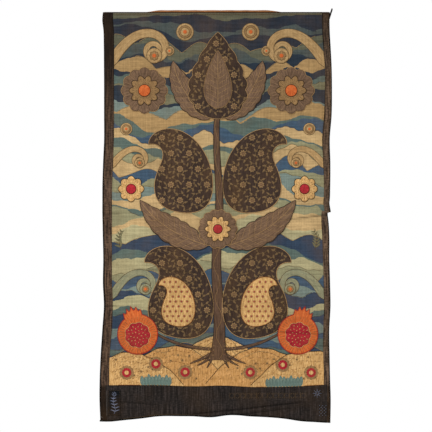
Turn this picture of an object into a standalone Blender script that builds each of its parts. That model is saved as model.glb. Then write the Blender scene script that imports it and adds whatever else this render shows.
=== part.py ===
"""Embroidered wall hanging: a pieced cloth panel with sewn borders, built at its real size.

Metres, +Z up, with the face looking towards -Y. The origin is the middle of the top edge, in the
plane that the heading tape bears on, so the cloth hangs below and in front of it. A depth is
measured down from the cloth's own top edge, and a relief is how far the cloth stands forward.
"""

import bmesh
import bpy
import numpy as np

# Thickness of each cloth, and the gap that sewn layers keep
GROUND_THICKNESS = 0.0016
BORDER_THICKNESS = 0.0014
BAND_THICKNESS = 0.0014
PATCH_THICKNESS = 0.0012
TAPE_THICKNESS = 0.0014
TIE_THICKNESS = 0.0014
LAYER_GAP = 0.0003

# How closely the cloths are divided: all of them share the same lines, so layers stay apart
GROUND_COLUMNS = 22
SETTLING_PASSES = 3
BORDER_COLUMNS = 2
GROUND_ROW_STEP = 0.062
LAST_LEVEL_ROW = 2.190
BAND_ROWS = 6
LAP_ROWS = (-0.076, -0.046, -0.016, 0.000, 0.020, 0.050, 0.085)

# Heading tape: behind the top edge, with an arched upper edge that rises past the cloth
TAPE_LEFT = -0.474
TAPE_RIGHT = 0.450
TAPE_RISE = 0.013
TAPE_DROP = 0.048
TAPE_END_SINK = 0.004
TAPE_SHOULDER = 0.150
TAPE_STEPS = 28

# Right side: the upper border's free end laps over the lower border and swings outwards
LAP_DEPTH = 1.206
LAP_TUCK_UNDER = -LAP_ROWS[2]
LAP_ROW_CLEARANCE = 0.020
LAP_RISE_LENGTH = 0.090
LAP_SWING = 0.019
LAP_SWING_LENGTH = 0.075
LAP_SLANT_INNER = 0.008
LAP_SLANT_OUTER = -0.002
LAP_CLEARANCE = 0.0012
SAME_ROW = 0.000001

# Bottom band: overlaps the inner edges of both side borders
BAND_OVERLAP_LEFT = 0.022
BAND_OVERLAP_RIGHT = 0.018
BAND_SETTLE = 0.070

# Corner patch on the band
PATCH_LEFT = -0.646
PATCH_RIGHT = -0.572
PATCH_TOP = 2.264
PATCH_BOTTOM = 2.416
PATCH_GAP = 0.0006

# Depth at which the hanging's flutes begin, its whole drop, and the share of it over which the
# rippled side edges reach their full height
FLUTE_START = 0.070
DROP = 2.460
RIPPLE_ONSET = 0.25

# Side edges. Columns: depth, left edge, left border's inner edge, right border's inner edge,
# right edge. Widths are from the centre line.
SIDE_ROWS = (
    (0.000, -0.678, -0.618, 0.636, 0.682),
    (0.040, -0.682, -0.618, 0.636, 0.681),
    (0.110, -0.675, -0.613, 0.637, 0.682),
    (0.200, -0.673, -0.612, 0.643, 0.687),
    (0.320, -0.672, -0.612, 0.653, 0.693),
    (0.470, -0.671, -0.612, 0.653, 0.695),
    (0.620, -0.671, -0.612, 0.648, 0.693),
    (0.760, -0.671, -0.613, 0.637, 0.682),
    (0.900, -0.677, -0.618, 0.643, 0.685),
    (1.050, -0.681, -0.623, 0.647, 0.684),
    (1.120, -0.681, -0.624, 0.645, 0.682),
    (1.206, -0.681, -0.624, 0.632, 0.669),
    (1.260, -0.680, -0.624, 0.632, 0.675),
    (1.330, -0.679, -0.624, 0.636, 0.679),
    (1.480, -0.676, -0.624, 0.641, 0.679),
    (1.620, -0.678, -0.624, 0.645, 0.683),
    (1.760, -0.672, -0.619, 0.648, 0.686),
    (1.900, -0.681, -0.624, 0.643, 0.679),
    (2.050, -0.691, -0.637, 0.642, 0.680),
    (2.190, -0.697, -0.641, 0.647, 0.683),
    (2.320, -0.698, -0.638, 0.648, 0.687),
    (2.460, -0.692, -0.632, 0.646, 0.685),
)
LEFT_EDGE, LEFT_INNER, RIGHT_INNER, RIGHT_EDGE = 1, 2, 3, 4

# Lower edge. Columns: distance from the centre line, depth. The corners hang lowest.
BOTTOM_ROWS = (
    (-0.700, 2.452),
    (-0.642, 2.453),
    (-0.546, 2.444),
    (-0.450, 2.434),
    (-0.354, 2.422),
    (-0.162, 2.421),
    (-0.018, 2.427),
    (0.078, 2.414),
    (0.222, 2.422),
    (0.318, 2.428),
    (0.414, 2.436),
    (0.510, 2.451),
    (0.606, 2.457),
    (0.700, 2.462),
)

# Upper edge of the band. Columns: distance from the centre line, depth.
BAND_TOP_ROWS = (
    (-0.700, 2.236),
    (-0.288, 2.237),
    (-0.120, 2.243),
    (0.036, 2.238),
    (0.260, 2.247),
    (0.500, 2.242),
    (0.700, 2.230),
)

# Soft vertical flutes. Columns: how far the crest stands forward at the foot, width of one wave,
# place of the first crest, sideways drift of the crest down the whole drop, how late it grows.
FLUTES = (
    (0.0110, 0.560, -0.420, 0.060, 0.9),
    (0.0070, 0.345, -0.515, -0.050, 1.4),
    (0.0035, 0.215, -0.040, 0.030, 2.2),
)

# Rippled side edges. Columns: side, how far the edge curls forward, length of one ripple, depth of
# the first crest, how far in from the edge it reaches.
EDGE_RIPPLES = (
    (-1, 0.0060, 0.640, 0.520, 0.110),
    (1, 0.0070, 0.560, 0.420, 0.120),
)

# Main creases, as soft ridges. Columns: start and end from the centre line, depth at each, height,
# half width, how far each end fades.
CREASES = (
    (0.400, 0.720, 1.236, 1.200, 0.0060, 0.026, 0.150),
    (-0.300, 0.560, 2.404, 2.318, 0.0050, 0.024, 0.160),
    (-0.130, 0.480, 2.424, 2.356, 0.0030, 0.018, 0.120),
    (-0.720, -0.560, 1.200, 1.192, 0.0030, 0.020, 0.060),
)

# Corner tie. Columns: distance from the centre line, height above the origin, half width.
TIE_ROWS = (
    (0.6740, -0.062, 0.0050),
    (0.6835, -0.034, 0.0048),
    (0.6895, -0.014, 0.0042),
    (0.6950, -0.001, 0.0036),
    (0.6970, 0.006, 0.0030),
    (0.6935, 0.011, 0.0022),
)
TIE_STEPS = 16

# Colour and roughness of each cloth
GROUND_COLOUR = (0.27, 0.24, 0.15)
BORDER_COLOUR = (0.075, 0.045, 0.030)
BAND_COLOUR = (0.027, 0.022, 0.019)
PATCH_COLOUR = (0.020, 0.024, 0.034)
TAPE_COLOUR = (0.33, 0.15, 0.06)
TIE_COLOUR = (0.030, 0.022, 0.018)
CLOTH_ROUGHNESS = 0.92


def through(rows, column, at):
    """Smooth curve through one column of a table, read at each value of its first column."""
    table = np.array(rows)
    known, values = table[:, 0], table[:, column]
    slope = np.gradient(values, known)
    cell = np.clip(np.searchsorted(known, at) - 1, 0, len(known) - 2)
    width = known[cell + 1] - known[cell]
    t = np.clip((at - known[cell]) / width, 0.0, 1.0)
    start = values[cell] * (1 + 2 * t) * (1 - t) ** 2 + slope[cell] * width * t * (1 - t) ** 2
    end = values[cell + 1] * t**2 * (3 - 2 * t) - slope[cell + 1] * width * t**2 * (1 - t)
    return start + end


def ease(t):
    """Smooth step from 0 to 1."""
    t = np.clip(t, 0.0, 1.0)
    return t * t * (3 - 2 * t)


def relief(x, depth):
    """How far the cloth stands forward of its flat top, at a place on the panel."""
    down = np.clip((depth - FLUTE_START) / (DROP - FLUTE_START), 0.0, None)
    total = np.zeros_like(x)
    for height, width, crest, drift, growth in FLUTES:
        turn = 2 * np.pi * (x - crest - drift * down) / width
        total += height * down**growth * 0.5 * (1 + np.cos(turn))
    for side, height, length, crest, reach in EDGE_RIPPLES:
        edge = through(SIDE_ROWS, LEFT_EDGE if side < 0 else RIGHT_EDGE, depth)
        near = np.exp(-np.abs(edge - x) / reach) * ease(down / RIPPLE_ONSET)
        total += height * near * 0.5 * (1 + np.cos(2 * np.pi * (depth - crest) / length))
    for start, end, depth_start, depth_end, height, half_width, fade in CREASES:
        along = np.clip((x - start) / (end - start), 0.0, 1.0)
        line = depth_start + (depth_end - depth_start) * along
        ends = ease((x - start) / fade) * ease((end - x) / fade + 0.5)
        total += height * ends * np.exp(-(((depth - line) / half_width) ** 2))
    return total


def material(name, colour):
    """Matt cloth of one colour."""
    made = bpy.data.materials.new(name)
    made.use_nodes = True
    shader = made.node_tree.nodes["Principled BSDF"]
    shader.inputs["Base Color"].default_value = (*colour, 1.0)
    shader.inputs["Roughness"].default_value = CLOTH_ROUGHNESS
    shader.inputs["Metallic"].default_value = 0.0
    return made


def link(name, bm, cloth):
    """Turn a finished bmesh into a named object with its material."""
    mesh = bpy.data.meshes.new(name)
    bm.to_mesh(mesh)
    bm.free()
    mesh.materials.append(cloth)
    made = bpy.data.objects.new(name, mesh)
    bpy.context.scene.collection.objects.link(made)
    return made


def cloth_sheet(name, x, depth, layer, thickness, cloth):
    """One cloth: a grid laid on the panel's surface, then given its thickness behind its face.

    x and depth hold the grid's places, a row for each line across, and layer how far the cloth's
    face lies in front of the plane that the heading tape bears on where the panel is flat.
    """
    rows, columns = x.shape
    bm = bmesh.new()
    bmesh.ops.create_grid(bm, x_segments=columns - 1, y_segments=rows - 1, size=1.0)
    places = np.stack([x, -(layer + relief(x, depth)), -(depth + TAPE_RISE)], axis=-1)
    for vert, place in zip(bm.verts, places.reshape(-1, 3)):
        vert.co = place
    bmesh.ops.reverse_faces(bm, faces=bm.faces[:])
    bmesh.ops.triangulate(bm, faces=bm.faces[:], quad_method="FIXED")
    made = link(name, bm, cloth)
    made.data.shade_smooth()
    thicken = made.modifiers.new("thickness", "SOLIDIFY")
    thicken.thickness = thickness
    thicken.offset = -1.0
    return made


def flat_piece(name, outline, front, thickness, cloth):
    """One flat cloth piece: an outline in x and z, extruded back from its face."""
    bm = bmesh.new()
    face = bm.faces.new([bm.verts.new((x, front, z)) for x, z in outline])
    face.normal_update()
    if face.normal.y > 0:
        face.normal_flip()
    grown = bmesh.ops.extrude_face_region(bm, geom=[face])["geom"]
    back = [item for item in grown if isinstance(item, bmesh.types.BMVert)]
    bmesh.ops.translate(bm, verts=back, vec=(0.0, thickness, 0.0))
    bmesh.ops.recalc_face_normals(bm, faces=bm.faces[:])
    return link(name, bm, cloth)


def steady_depths():
    """Depths of the level rows, from the top edge to just above the band, closer at the lap."""
    plain = np.arange(0.0, LAST_LEVEL_ROW, GROUND_ROW_STEP)
    lap = LAP_DEPTH + np.array(LAP_ROWS)
    clear = (plain < lap[0] - LAP_ROW_CLEARANCE) | (plain > lap[-1] + LAP_ROW_CLEARANCE)
    return np.sort(np.concatenate([plain[clear], lap]))


def panel_lines():
    """Columns and rows of the whole panel: places across and down, as one grid of each."""
    level = steady_depths()
    across = np.linspace(0.0, 1.0, GROUND_COLUMNS + 1)
    band = np.linspace(0.0, 1.0, BAND_ROWS + 1)
    rows = len(level) + len(band)
    edge = np.linspace(0.0, 1.0, BORDER_COLUMNS + 1)
    x = np.zeros((rows, GROUND_COLUMNS + 2 * BORDER_COLUMNS + 1))
    first_guess = BAND_TOP_ROWS[0][1] + (DROP - BAND_TOP_ROWS[0][1]) * band
    depth = np.repeat(np.append(level, first_guess)[:, None], x.shape[1], axis=1)
    # The side edges depend on the depth, and the band's rows on the place across
    for _ in range(SETTLING_PASSES):
        left = through(SIDE_ROWS, LEFT_EDGE, depth)
        left_inner = through(SIDE_ROWS, LEFT_INNER, depth)
        right_inner = through(SIDE_ROWS, RIGHT_INNER, depth)
        right = through(SIDE_ROWS, RIGHT_EDGE, depth)
        field = slice(BORDER_COLUMNS, BORDER_COLUMNS + GROUND_COLUMNS + 1)
        low, high = left_inner[:, field], right_inner[:, field]
        x[:, field] = low + (high - low) * across
        low, high = left[:, : BORDER_COLUMNS + 1], left_inner[:, : BORDER_COLUMNS + 1]
        x[:, : BORDER_COLUMNS + 1] = low + (high - low) * edge
        low, high = right_inner[:, -BORDER_COLUMNS - 1 :], right[:, -BORDER_COLUMNS - 1 :]
        x[:, -BORDER_COLUMNS - 1 :] = low + (high - low) * edge
        top = through(BAND_TOP_ROWS, 1, x[len(level) :])
        foot = through(BOTTOM_ROWS, 1, x[len(level) :])
        depth[len(level) :] = top + (foot - top) * band[:, None]
    return x, depth


def build_ground(cloth):
    """Ground cloth: one length, with its top hem, behind the borders and the band."""
    x, depth = panel_lines()
    face = TAPE_THICKNESS + LAYER_GAP + GROUND_THICKNESS
    cloth_sheet("ground_cloth", x, depth, np.full_like(x, face), GROUND_THICKNESS, cloth)


def border_layer():
    """How far a border's face lies forward of the heading's plane where it lies on the ground."""
    return TAPE_THICKNESS + LAYER_GAP + GROUND_THICKNESS + LAYER_GAP + BORDER_THICKNESS


def build_borders(cloth):
    """Side borders: the left in one length, the right in two that lap at mid height."""
    x, depth = panel_lines()
    left = slice(0, BORDER_COLUMNS + 1)
    right = slice(-BORDER_COLUMNS - 1, None)
    flat = np.full_like(x, border_layer())
    cloth_sheet("border_left", x[:, left], depth[:, left], flat[:, left], BORDER_THICKNESS, cloth)

    at = depth[:, -1]
    under = LAP_DEPTH - LAP_TUCK_UNDER
    rows = np.flatnonzero(at > under - SAME_ROW)
    cloth_sheet("border_right_lower", x[rows, right], depth[rows, right], flat[rows, right],
                BORDER_THICKNESS, cloth)

    rows = np.flatnonzero(at < LAP_DEPTH + SAME_ROW)
    upper_x, upper_depth, layer = x[rows, right], depth[rows, right].copy(), flat[rows, right]
    lift = BORDER_THICKNESS + LAP_CLEARANCE
    layer = layer + lift * ease((upper_depth - under) / LAP_RISE_LENGTH + 1)
    swing = LAP_SWING * ease((upper_depth - LAP_DEPTH) / LAP_SWING_LENGTH + 1)
    upper_depth[-1] += np.linspace(LAP_SLANT_INNER, LAP_SLANT_OUTER, BORDER_COLUMNS + 1)
    cloth_sheet("border_right_upper", upper_x + swing, upper_depth, layer, BORDER_THICKNESS, cloth)


def build_band(cloth):
    """Bottom band: lies on the ground, and over the inner edges of both borders."""
    x, depth = panel_lines()
    rows = slice(-BAND_ROWS - 1, None)
    columns = slice(BORDER_COLUMNS, BORDER_COLUMNS + GROUND_COLUMNS + 1)
    inner_x, inner_depth = x[rows, columns], depth[rows, columns]
    left_x = inner_x[:, :1] - BAND_OVERLAP_LEFT
    right_x = inner_x[:, -1:] + BAND_OVERLAP_RIGHT
    band_x = np.hstack([left_x, inner_x, right_x])
    share = np.linspace(0.0, 1.0, BAND_ROWS + 1)[:, None]
    band_depth = []
    for edge_x in (left_x, right_x):
        top = through(BAND_TOP_ROWS, 1, edge_x)
        foot = through(BOTTOM_ROWS, 1, edge_x)
        band_depth.append(top + (foot - top) * share)
    band_depth = np.hstack([band_depth[0], inner_depth, band_depth[1]])
    from_left = (band_x - inner_x[:, :1]) / BAND_SETTLE
    from_right = (inner_x[:, -1:] - band_x) / BAND_SETTLE
    raised = np.maximum(ease(1 - from_left), ease(1 - from_right))
    on_ground = border_layer() - BORDER_THICKNESS + BAND_THICKNESS
    layer = on_ground + (BORDER_THICKNESS + LAYER_GAP) * raised
    cloth_sheet("bottom_band", band_x, band_depth, layer, BAND_THICKNESS, cloth)


def build_patch(cloth):
    """Small upright patch sewn at the band's left end."""
    inner = float(through(SIDE_ROWS, LEFT_INNER, np.array(PATCH_TOP)))
    across = np.array([PATCH_LEFT, inner, PATCH_RIGHT])
    x, depth = np.meshgrid(across, np.linspace(PATCH_TOP, PATCH_BOTTOM, BAND_ROWS))
    on_band = border_layer() + LAYER_GAP + BAND_THICKNESS + PATCH_GAP + PATCH_THICKNESS
    cloth_sheet("corner_patch", x, depth, np.full_like(x, on_band), PATCH_THICKNESS, cloth)


def build_tape(cloth):
    """Heading tape: flat behind the top edge, its upper edge an arch with soft shoulders."""
    across = np.linspace(TAPE_LEFT, TAPE_RIGHT, TAPE_STEPS + 1)
    rise = np.minimum(across - TAPE_LEFT, TAPE_RIGHT - across) / TAPE_SHOULDER
    upper = -(TAPE_RISE + TAPE_END_SINK) * (1 - ease(rise))
    lower = -TAPE_RISE - TAPE_DROP
    outline = list(zip(across, upper)) + [(TAPE_RIGHT, lower), (TAPE_LEFT, lower)]
    flat_piece("heading_tape", outline, -TAPE_THICKNESS, TAPE_THICKNESS, cloth)


def build_tie(cloth):
    """Corner tie: a narrow folded end that stands up behind the top right corner."""
    table = np.array(TIE_ROWS)
    known = np.linspace(0.0, 1.0, len(table))
    at = np.linspace(0.0, 1.0, TIE_STEPS)
    rows = np.column_stack([known, table])
    x, z, half = (through(rows, column, at) for column in (1, 2, 3))
    dx, dz = np.gradient(x), np.gradient(z)
    length = np.hypot(dx, dz)
    side_x, side_z = -dz / length * half, dx / length * half
    one = list(zip(x + side_x, z + side_z))
    other = list(zip(x - side_x, z - side_z))
    flat_piece("corner_tie", one + other[::-1], -TIE_THICKNESS, TIE_THICKNESS, cloth)


def main():
    """Clear the scene and build each cloth piece."""
    for old in list(bpy.data.objects):
        bpy.data.objects.remove(old)
    border = material("border_braid", BORDER_COLOUR)
    build_ground(material("ground_cloth", GROUND_COLOUR))
    build_borders(border)
    build_band(material("band_cloth", BAND_COLOUR))
    build_patch(material("patch_cloth", PATCH_COLOUR))
    build_tape(material("heading_tape", TAPE_COLOUR))
    build_tie(material("tie_cloth", TIE_COLOUR))


main()
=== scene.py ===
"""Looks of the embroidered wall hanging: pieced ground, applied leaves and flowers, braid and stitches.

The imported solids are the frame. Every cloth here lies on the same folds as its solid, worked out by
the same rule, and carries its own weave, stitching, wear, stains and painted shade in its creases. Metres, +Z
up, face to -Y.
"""

import logging
from dataclasses import dataclass, field, replace
from enum import Enum
from typing import Callable, ClassVar, Sequence

import bmesh
import bpy
import numpy as np
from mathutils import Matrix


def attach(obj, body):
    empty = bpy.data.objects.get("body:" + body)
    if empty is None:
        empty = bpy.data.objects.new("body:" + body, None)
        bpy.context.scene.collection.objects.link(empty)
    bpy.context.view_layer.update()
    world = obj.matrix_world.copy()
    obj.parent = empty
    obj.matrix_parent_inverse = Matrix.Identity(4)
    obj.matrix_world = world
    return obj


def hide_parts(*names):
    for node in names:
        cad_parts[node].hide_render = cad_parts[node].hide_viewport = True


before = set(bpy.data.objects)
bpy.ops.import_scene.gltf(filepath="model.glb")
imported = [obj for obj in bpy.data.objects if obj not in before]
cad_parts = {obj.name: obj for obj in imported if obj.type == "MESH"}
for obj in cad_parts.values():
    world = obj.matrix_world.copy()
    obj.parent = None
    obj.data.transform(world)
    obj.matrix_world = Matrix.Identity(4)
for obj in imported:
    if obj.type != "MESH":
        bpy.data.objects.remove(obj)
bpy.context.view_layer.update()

Array = np.ndarray
Arrays = tuple[Array, ...]
Values = Array | float
Pair = tuple[float, float]
Rows = tuple[tuple[float, ...], ...]
Socket = bpy.types.NodeSocket
Tree = bpy.types.NodeTree

LOG = logging.getLogger("hanging")
TOWARDS_VIEWER = np.array([0.0, -1.0, 0.0])
# Points nearer than this are one
WELD = 0.000002
# Rows of the hanging's own lines: level ones to just above the foot band, then down to its edge
LEVEL_ROWS = 277
FOOT_ROWS = 50
# Upright line on which the design is mirrored
AXIS = 0.011
# Inputs that carry a value from one range to another, and where a noise's troughs and crests lie
SPAN = ("From Min", "From Max", "To Min", "To Max")
TROUGH_TO_CREST = (0.3, 0.7)


# Curves and shapes in the plane of the cloth


def through(rows: Rows, column: int, at: Array) -> Array:
    """Smooth curve through one column of a table: cubic pieces with the table's own mean slopes.

    Args:
        rows: The table, its first column rising.
        column: Which column to read.
        at: Values of the first column at which to read it.
    Returns:
        The column's value at each place.
    """
    table = np.array(rows)
    known, values = table[:, 0], table[:, column]
    slope = np.gradient(values, known)
    cell = np.clip(np.searchsorted(known, at) - 1, 0, len(known) - 2)
    width = known[cell + 1] - known[cell]
    t = np.clip((at - known[cell]) / width, 0.0, 1.0)
    start = values[cell] * (1 + 2 * t) * (1 - t) ** 2 + slope[cell] * width * t * (1 - t) ** 2
    end = values[cell + 1] * t**2 * (3 - 2 * t) - slope[cell + 1] * width * t**2 * (1 - t)
    return start + end


def ease(t: Array) -> Array:
    """Smooth step from 0 to 1."""
    t = np.clip(t, 0.0, 1.0)
    return t * t * (3 - 2 * t)


def shares(count: int) -> Array:
    """Evenly spaced shares from 0 to 1."""
    return np.linspace(0.0, 1.0, count)


def stacked(*parts: Values) -> Array:
    """Parts brought to one shape, side by side on a new last axis."""
    return np.stack(np.broadcast_arrays(*parts), axis=-1)


def runs(kept: Array, shortest: int) -> list[Array]:
    """Indices of each unbroken stretch of kept places, if it has at least so many places."""
    parts = np.split(np.arange(len(kept)), np.flatnonzero(np.diff(kept.astype(int))) + 1)
    return [part for part in parts if kept[part[0]] and len(part) >= shortest]


@dataclass(frozen=True)
class Drape:
    """The folds in which the whole hanging hangs, by the same rule and rows as its solids."""

    tape_rise: float = 0.013
    flute_start: float = 0.07
    drop: float = 2.46
    ripple_onset: float = 0.25
    last_level: float = 2.216
    foot_start: Pair = (2.24, 2.44)
    rounds: int = 4
    wrinkle: float = 0.0007
    # Depth of a crease at which its painted shade is full, and the share of its half width that the shade
    # covers
    full_crease_shade: float = 0.0036
    crease_shade_spread: float = 0.55
    # Columns: depth, left edge, left border's inner edge, right border's inner edge, right edge
    sides: Rows = (
        (0.0, -0.678, -0.618, 0.636, 0.682),
        (0.04, -0.682, -0.618, 0.636, 0.681),
        (0.11, -0.675, -0.613, 0.637, 0.682),
        (0.2, -0.673, -0.612, 0.643, 0.687),
        (0.32, -0.672, -0.612, 0.653, 0.693),
        (0.47, -0.671, -0.612, 0.653, 0.695),
        (0.62, -0.671, -0.612, 0.648, 0.693),
        (0.76, -0.671, -0.613, 0.637, 0.682),
        (0.9, -0.677, -0.618, 0.643, 0.685),
        (1.05, -0.681, -0.623, 0.647, 0.684),
        (1.12, -0.681, -0.624, 0.645, 0.682),
        (1.206, -0.681, -0.624, 0.632, 0.669),
        (1.26, -0.68, -0.624, 0.632, 0.675),
        (1.33, -0.679, -0.624, 0.636, 0.679),
        (1.48, -0.676, -0.624, 0.641, 0.679),
        (1.62, -0.678, -0.624, 0.645, 0.683),
        (1.76, -0.672, -0.619, 0.648, 0.686),
        (1.9, -0.681, -0.624, 0.643, 0.679),
        (2.05, -0.691, -0.637, 0.642, 0.68),
        (2.19, -0.697, -0.641, 0.647, 0.683),
        (2.32, -0.698, -0.638, 0.648, 0.687),
        (2.46, -0.692, -0.632, 0.646, 0.685),
    )
    # Columns: distance from the centre line, depth of the lower edge
    foot: Rows = (
        (-0.7, 2.452), (-0.642, 2.453), (-0.546, 2.444), (-0.45, 2.434), (-0.354, 2.422),
        (-0.162, 2.421), (-0.018, 2.427), (0.078, 2.414), (0.222, 2.422), (0.318, 2.428),
        (0.414, 2.436), (0.51, 2.451), (0.606, 2.457), (0.7, 2.462),
    )
    # Columns: distance from the centre line, depth of the band's upper edge
    band_top: Rows = (
        (-0.7, 2.236), (-0.288, 2.237), (-0.12, 2.243), (0.036, 2.238), (0.26, 2.247), (0.5, 2.242),
        (0.7, 2.23),
    )
    # Columns: height at the foot, width of a wave, first crest, drift down the drop, growth
    flutes: Rows = (
        (0.011, 0.56, -0.42, 0.06, 0.9),
        (0.007, 0.345, -0.515, -0.05, 1.4), (0.0035, 0.215, -0.04, 0.03, 2.2),
    )
    # Columns: side, height, length of a ripple, depth of its first crest, reach from the edge
    ripples: Rows = (
        (-1, 0.006, 0.64, 0.52, 0.11), (1, 0.007, 0.56, 0.42, 0.12),
    )
    # Columns: start and end across, depth at each, height, half width, fade at the ends
    creases: Rows = (
        (0.4, 0.72, 1.236, 1.2, 0.006, 0.026, 0.15),
        (-0.3, 0.56, 2.404, 2.318, 0.005, 0.024, 0.16),
        (-0.13, 0.48, 2.424, 2.356, 0.003, 0.018, 0.12),
        (-0.72, -0.56, 1.2, 1.192, 0.003, 0.02, 0.06),
    )
    # The same columns, for creases too fine for the solids
    fine_creases: Rows = (
        (-0.23, 0.52, 2.42, 2.338, -0.0042, 0.0075, 0.16),
        (-0.06, 0.44, 2.438, 2.374, -0.0026, 0.006, 0.12),
        (0.34, 0.7, 1.254, 1.212, -0.004, 0.008, 0.2),
        (-0.72, -0.6, 0.072, 0.066, -0.002, 0.006, 0.03),
        (-0.72, -0.58, 1.214, 1.21, -0.003, 0.006, 0.06),
        (-0.72, -0.59, 1.764, 1.758, -0.0024, 0.007, 0.04),
        (-0.72, -0.59, 1.978, 1.97, -0.0022, 0.006, 0.04),
        (0.56, 0.72, 0.172, 0.178, -0.0018, 0.006, 0.05),
        (0.56, 0.72, 1.64, 1.65, -0.002, 0.007, 0.05),
        (0.56, 0.72, 1.995, 2.004, -0.0022, 0.007, 0.05),
        (-0.64, -0.36, 2.33, 2.352, -0.002, 0.008, 0.1),
        (-0.56, -0.14, 1.536, 1.56, -0.0014, 0.011, 0.18),
        (0.12, 0.6, 0.842, 0.816, -0.0014, 0.01, 0.18),
        (-0.6, -0.1, 0.52, 0.5, -0.0012, 0.011, 0.2),
        (0.18, 0.64, 1.905, 1.93, -0.0016, 0.011, 0.16),
    )

    def relief(self, x: Array, depth: Array) -> Array:
        """How far the cloth stands forward: flutes growing down the drop, rippled edges and creases.

        Args:
            x: Places across, from the centre line.
            depth: Depths below the cloth's top edge.
        Returns:
            The forward relief at each place.
        """
        down = np.clip((depth - self.flute_start) / (self.drop - self.flute_start), 0.0, None)
        total = np.zeros_like(x)
        for height, width, crest, drift, growth in self.flutes:
            turn = 2 * np.pi * (x - crest - drift * down) / width
            total += height * down**growth * 0.5 * (1 + np.cos(turn))
        for side, height, length, crest, reach in self.ripples:
            edge = through(self.sides, 1 if side < 0 else 4, depth)
            near = np.exp(-np.abs(edge - x) / reach) * ease(down / self.ripple_onset)
            total += height * near * 0.5 * (1 + np.cos(2 * np.pi * (depth - crest) / length))
        for row in self.creases + self.fine_creases:
            total += row[4] * self.fold(row, x, depth)
        return total + self.wrinkles(x, depth) * ease(down * 6)

    def fold(self, row: tuple[float, ...], x: Array, depth: Array, spread: float = 1.0) -> Array:
        """One crease's form: a bell across its slanting line, faded at both ends.

        Args:
            row: The crease's row in its table.
            x: Places across.
            depth: Depths.
            spread: Scale of its half width.
        Returns:
            The share of its height at each place.
        """
        start, end, depth_start, depth_end, _, half_width, fade = row
        along = np.clip((x - start) / (end - start), 0.0, 1.0)
        line = depth_start + (depth_end - depth_start) * along
        ends = ease((x - start) / fade) * ease((end - x) / fade + 0.5)
        return ends * np.exp(-(((depth - line) / (spread * half_width)) ** 2))

    def painted_crease_shade(self, x: Array, depth: Array) -> Array:
        """Painted shade in the sharp creases, from 0 to 1: each one's form, narrower, by its own height."""
        rows = [(min(abs(row[4]) / self.full_crease_shade, 1.0), row) for row in self.fine_creases]
        return np.clip(sum(share * self.fold(row, x, depth, self.crease_shade_spread) for share, row in rows), 0.0, 1.0)

    def wrinkles(self, x: Array, depth: Array) -> Array:
        """Height of fine uneven wrinkles: long waves times short ones, all at small angles."""
        short = np.sin(73 * x + 4 * np.sin(3 * depth)) + np.sin(23 * depth + 6 * x)
        return self.wrinkle * short * (np.sin(31 * x + 5 * depth + 1.1) + np.sin(17 * x - 9 * depth + 4.0)) / 2

    def place(self, x: Array, depth: Array, lift: Values) -> Array:
        """Points on the hanging, with x, y and z on the last axis: y is minus the lift and the relief."""
        y = -(lift + self.relief(x, depth))
        return stacked(x, y, -(depth + self.tape_rise))

    def lower_edge(self, x: Array) -> Array:
        """Depth of the hanging's lower edge."""
        return through(self.foot, 1, x)

    def upper_edge(self, x: Array) -> Array:
        """Depth of the foot band's upper edge."""
        return through(self.band_top, 1, x)

    def lines(self, field_cells: int, strip_cells: int) -> Arrays:
        """Lines across and down the whole hanging: level rows, then rows that settle into the foot.

        Args:
            field_cells: Cells across between the borders' inner edges.
            strip_cells: Cells across each border.
        Returns:
            Places across and depths, a row for each line across.
        """
        level = np.linspace(0.0, self.last_level, LEVEL_ROWS + 1)
        share = shares(FOOT_ROWS + 1)[:, None]
        columns = np.arange(field_cells + 2 * strip_cells + 1)
        parts = (0, strip_cells), (strip_cells, field_cells), (strip_cells + field_cells, strip_cells)
        reach = [np.clip((columns - first) / cells, 0.0, 1.0) for first, cells in parts]
        depth = np.append(level, np.linspace(*self.foot_start, FOOT_ROWS + 1))[:, None].repeat(len(columns), 1)
        # The foot's rows hang on the places across, and those on the rows, so both settle in a few rounds
        for _ in range(self.rounds):
            edges = [through(self.sides, k, depth) for k in (1, 2, 3, 4)]
            x = edges[0] + sum((far - near) * part for near, far, part in zip(edges, edges[1:], reach))
            top, foot = self.upper_edge(x[len(level) :]), self.lower_edge(x[len(level) :])
            depth[len(level) :] = top + (foot - top) * share
        return x, depth


@dataclass(frozen=True)
class Layers:
    """How far each cloth's face lies in front of the plane that the heading bears on."""

    tape: float = 0.0014
    ground: float = 0.0033
    border: float = 0.005
    lap: float = 0.0026
    band: float = 0.005
    band_rise: float = 0.0017
    patch: float = 0.0085
    ground_thickness: float = 0.0016
    strip_thickness: float = 0.0014
    tuck: float = 0.0002


DRAPE = Drape()
LAYERS = Layers()


# Shapes that are cut from cloth


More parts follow.
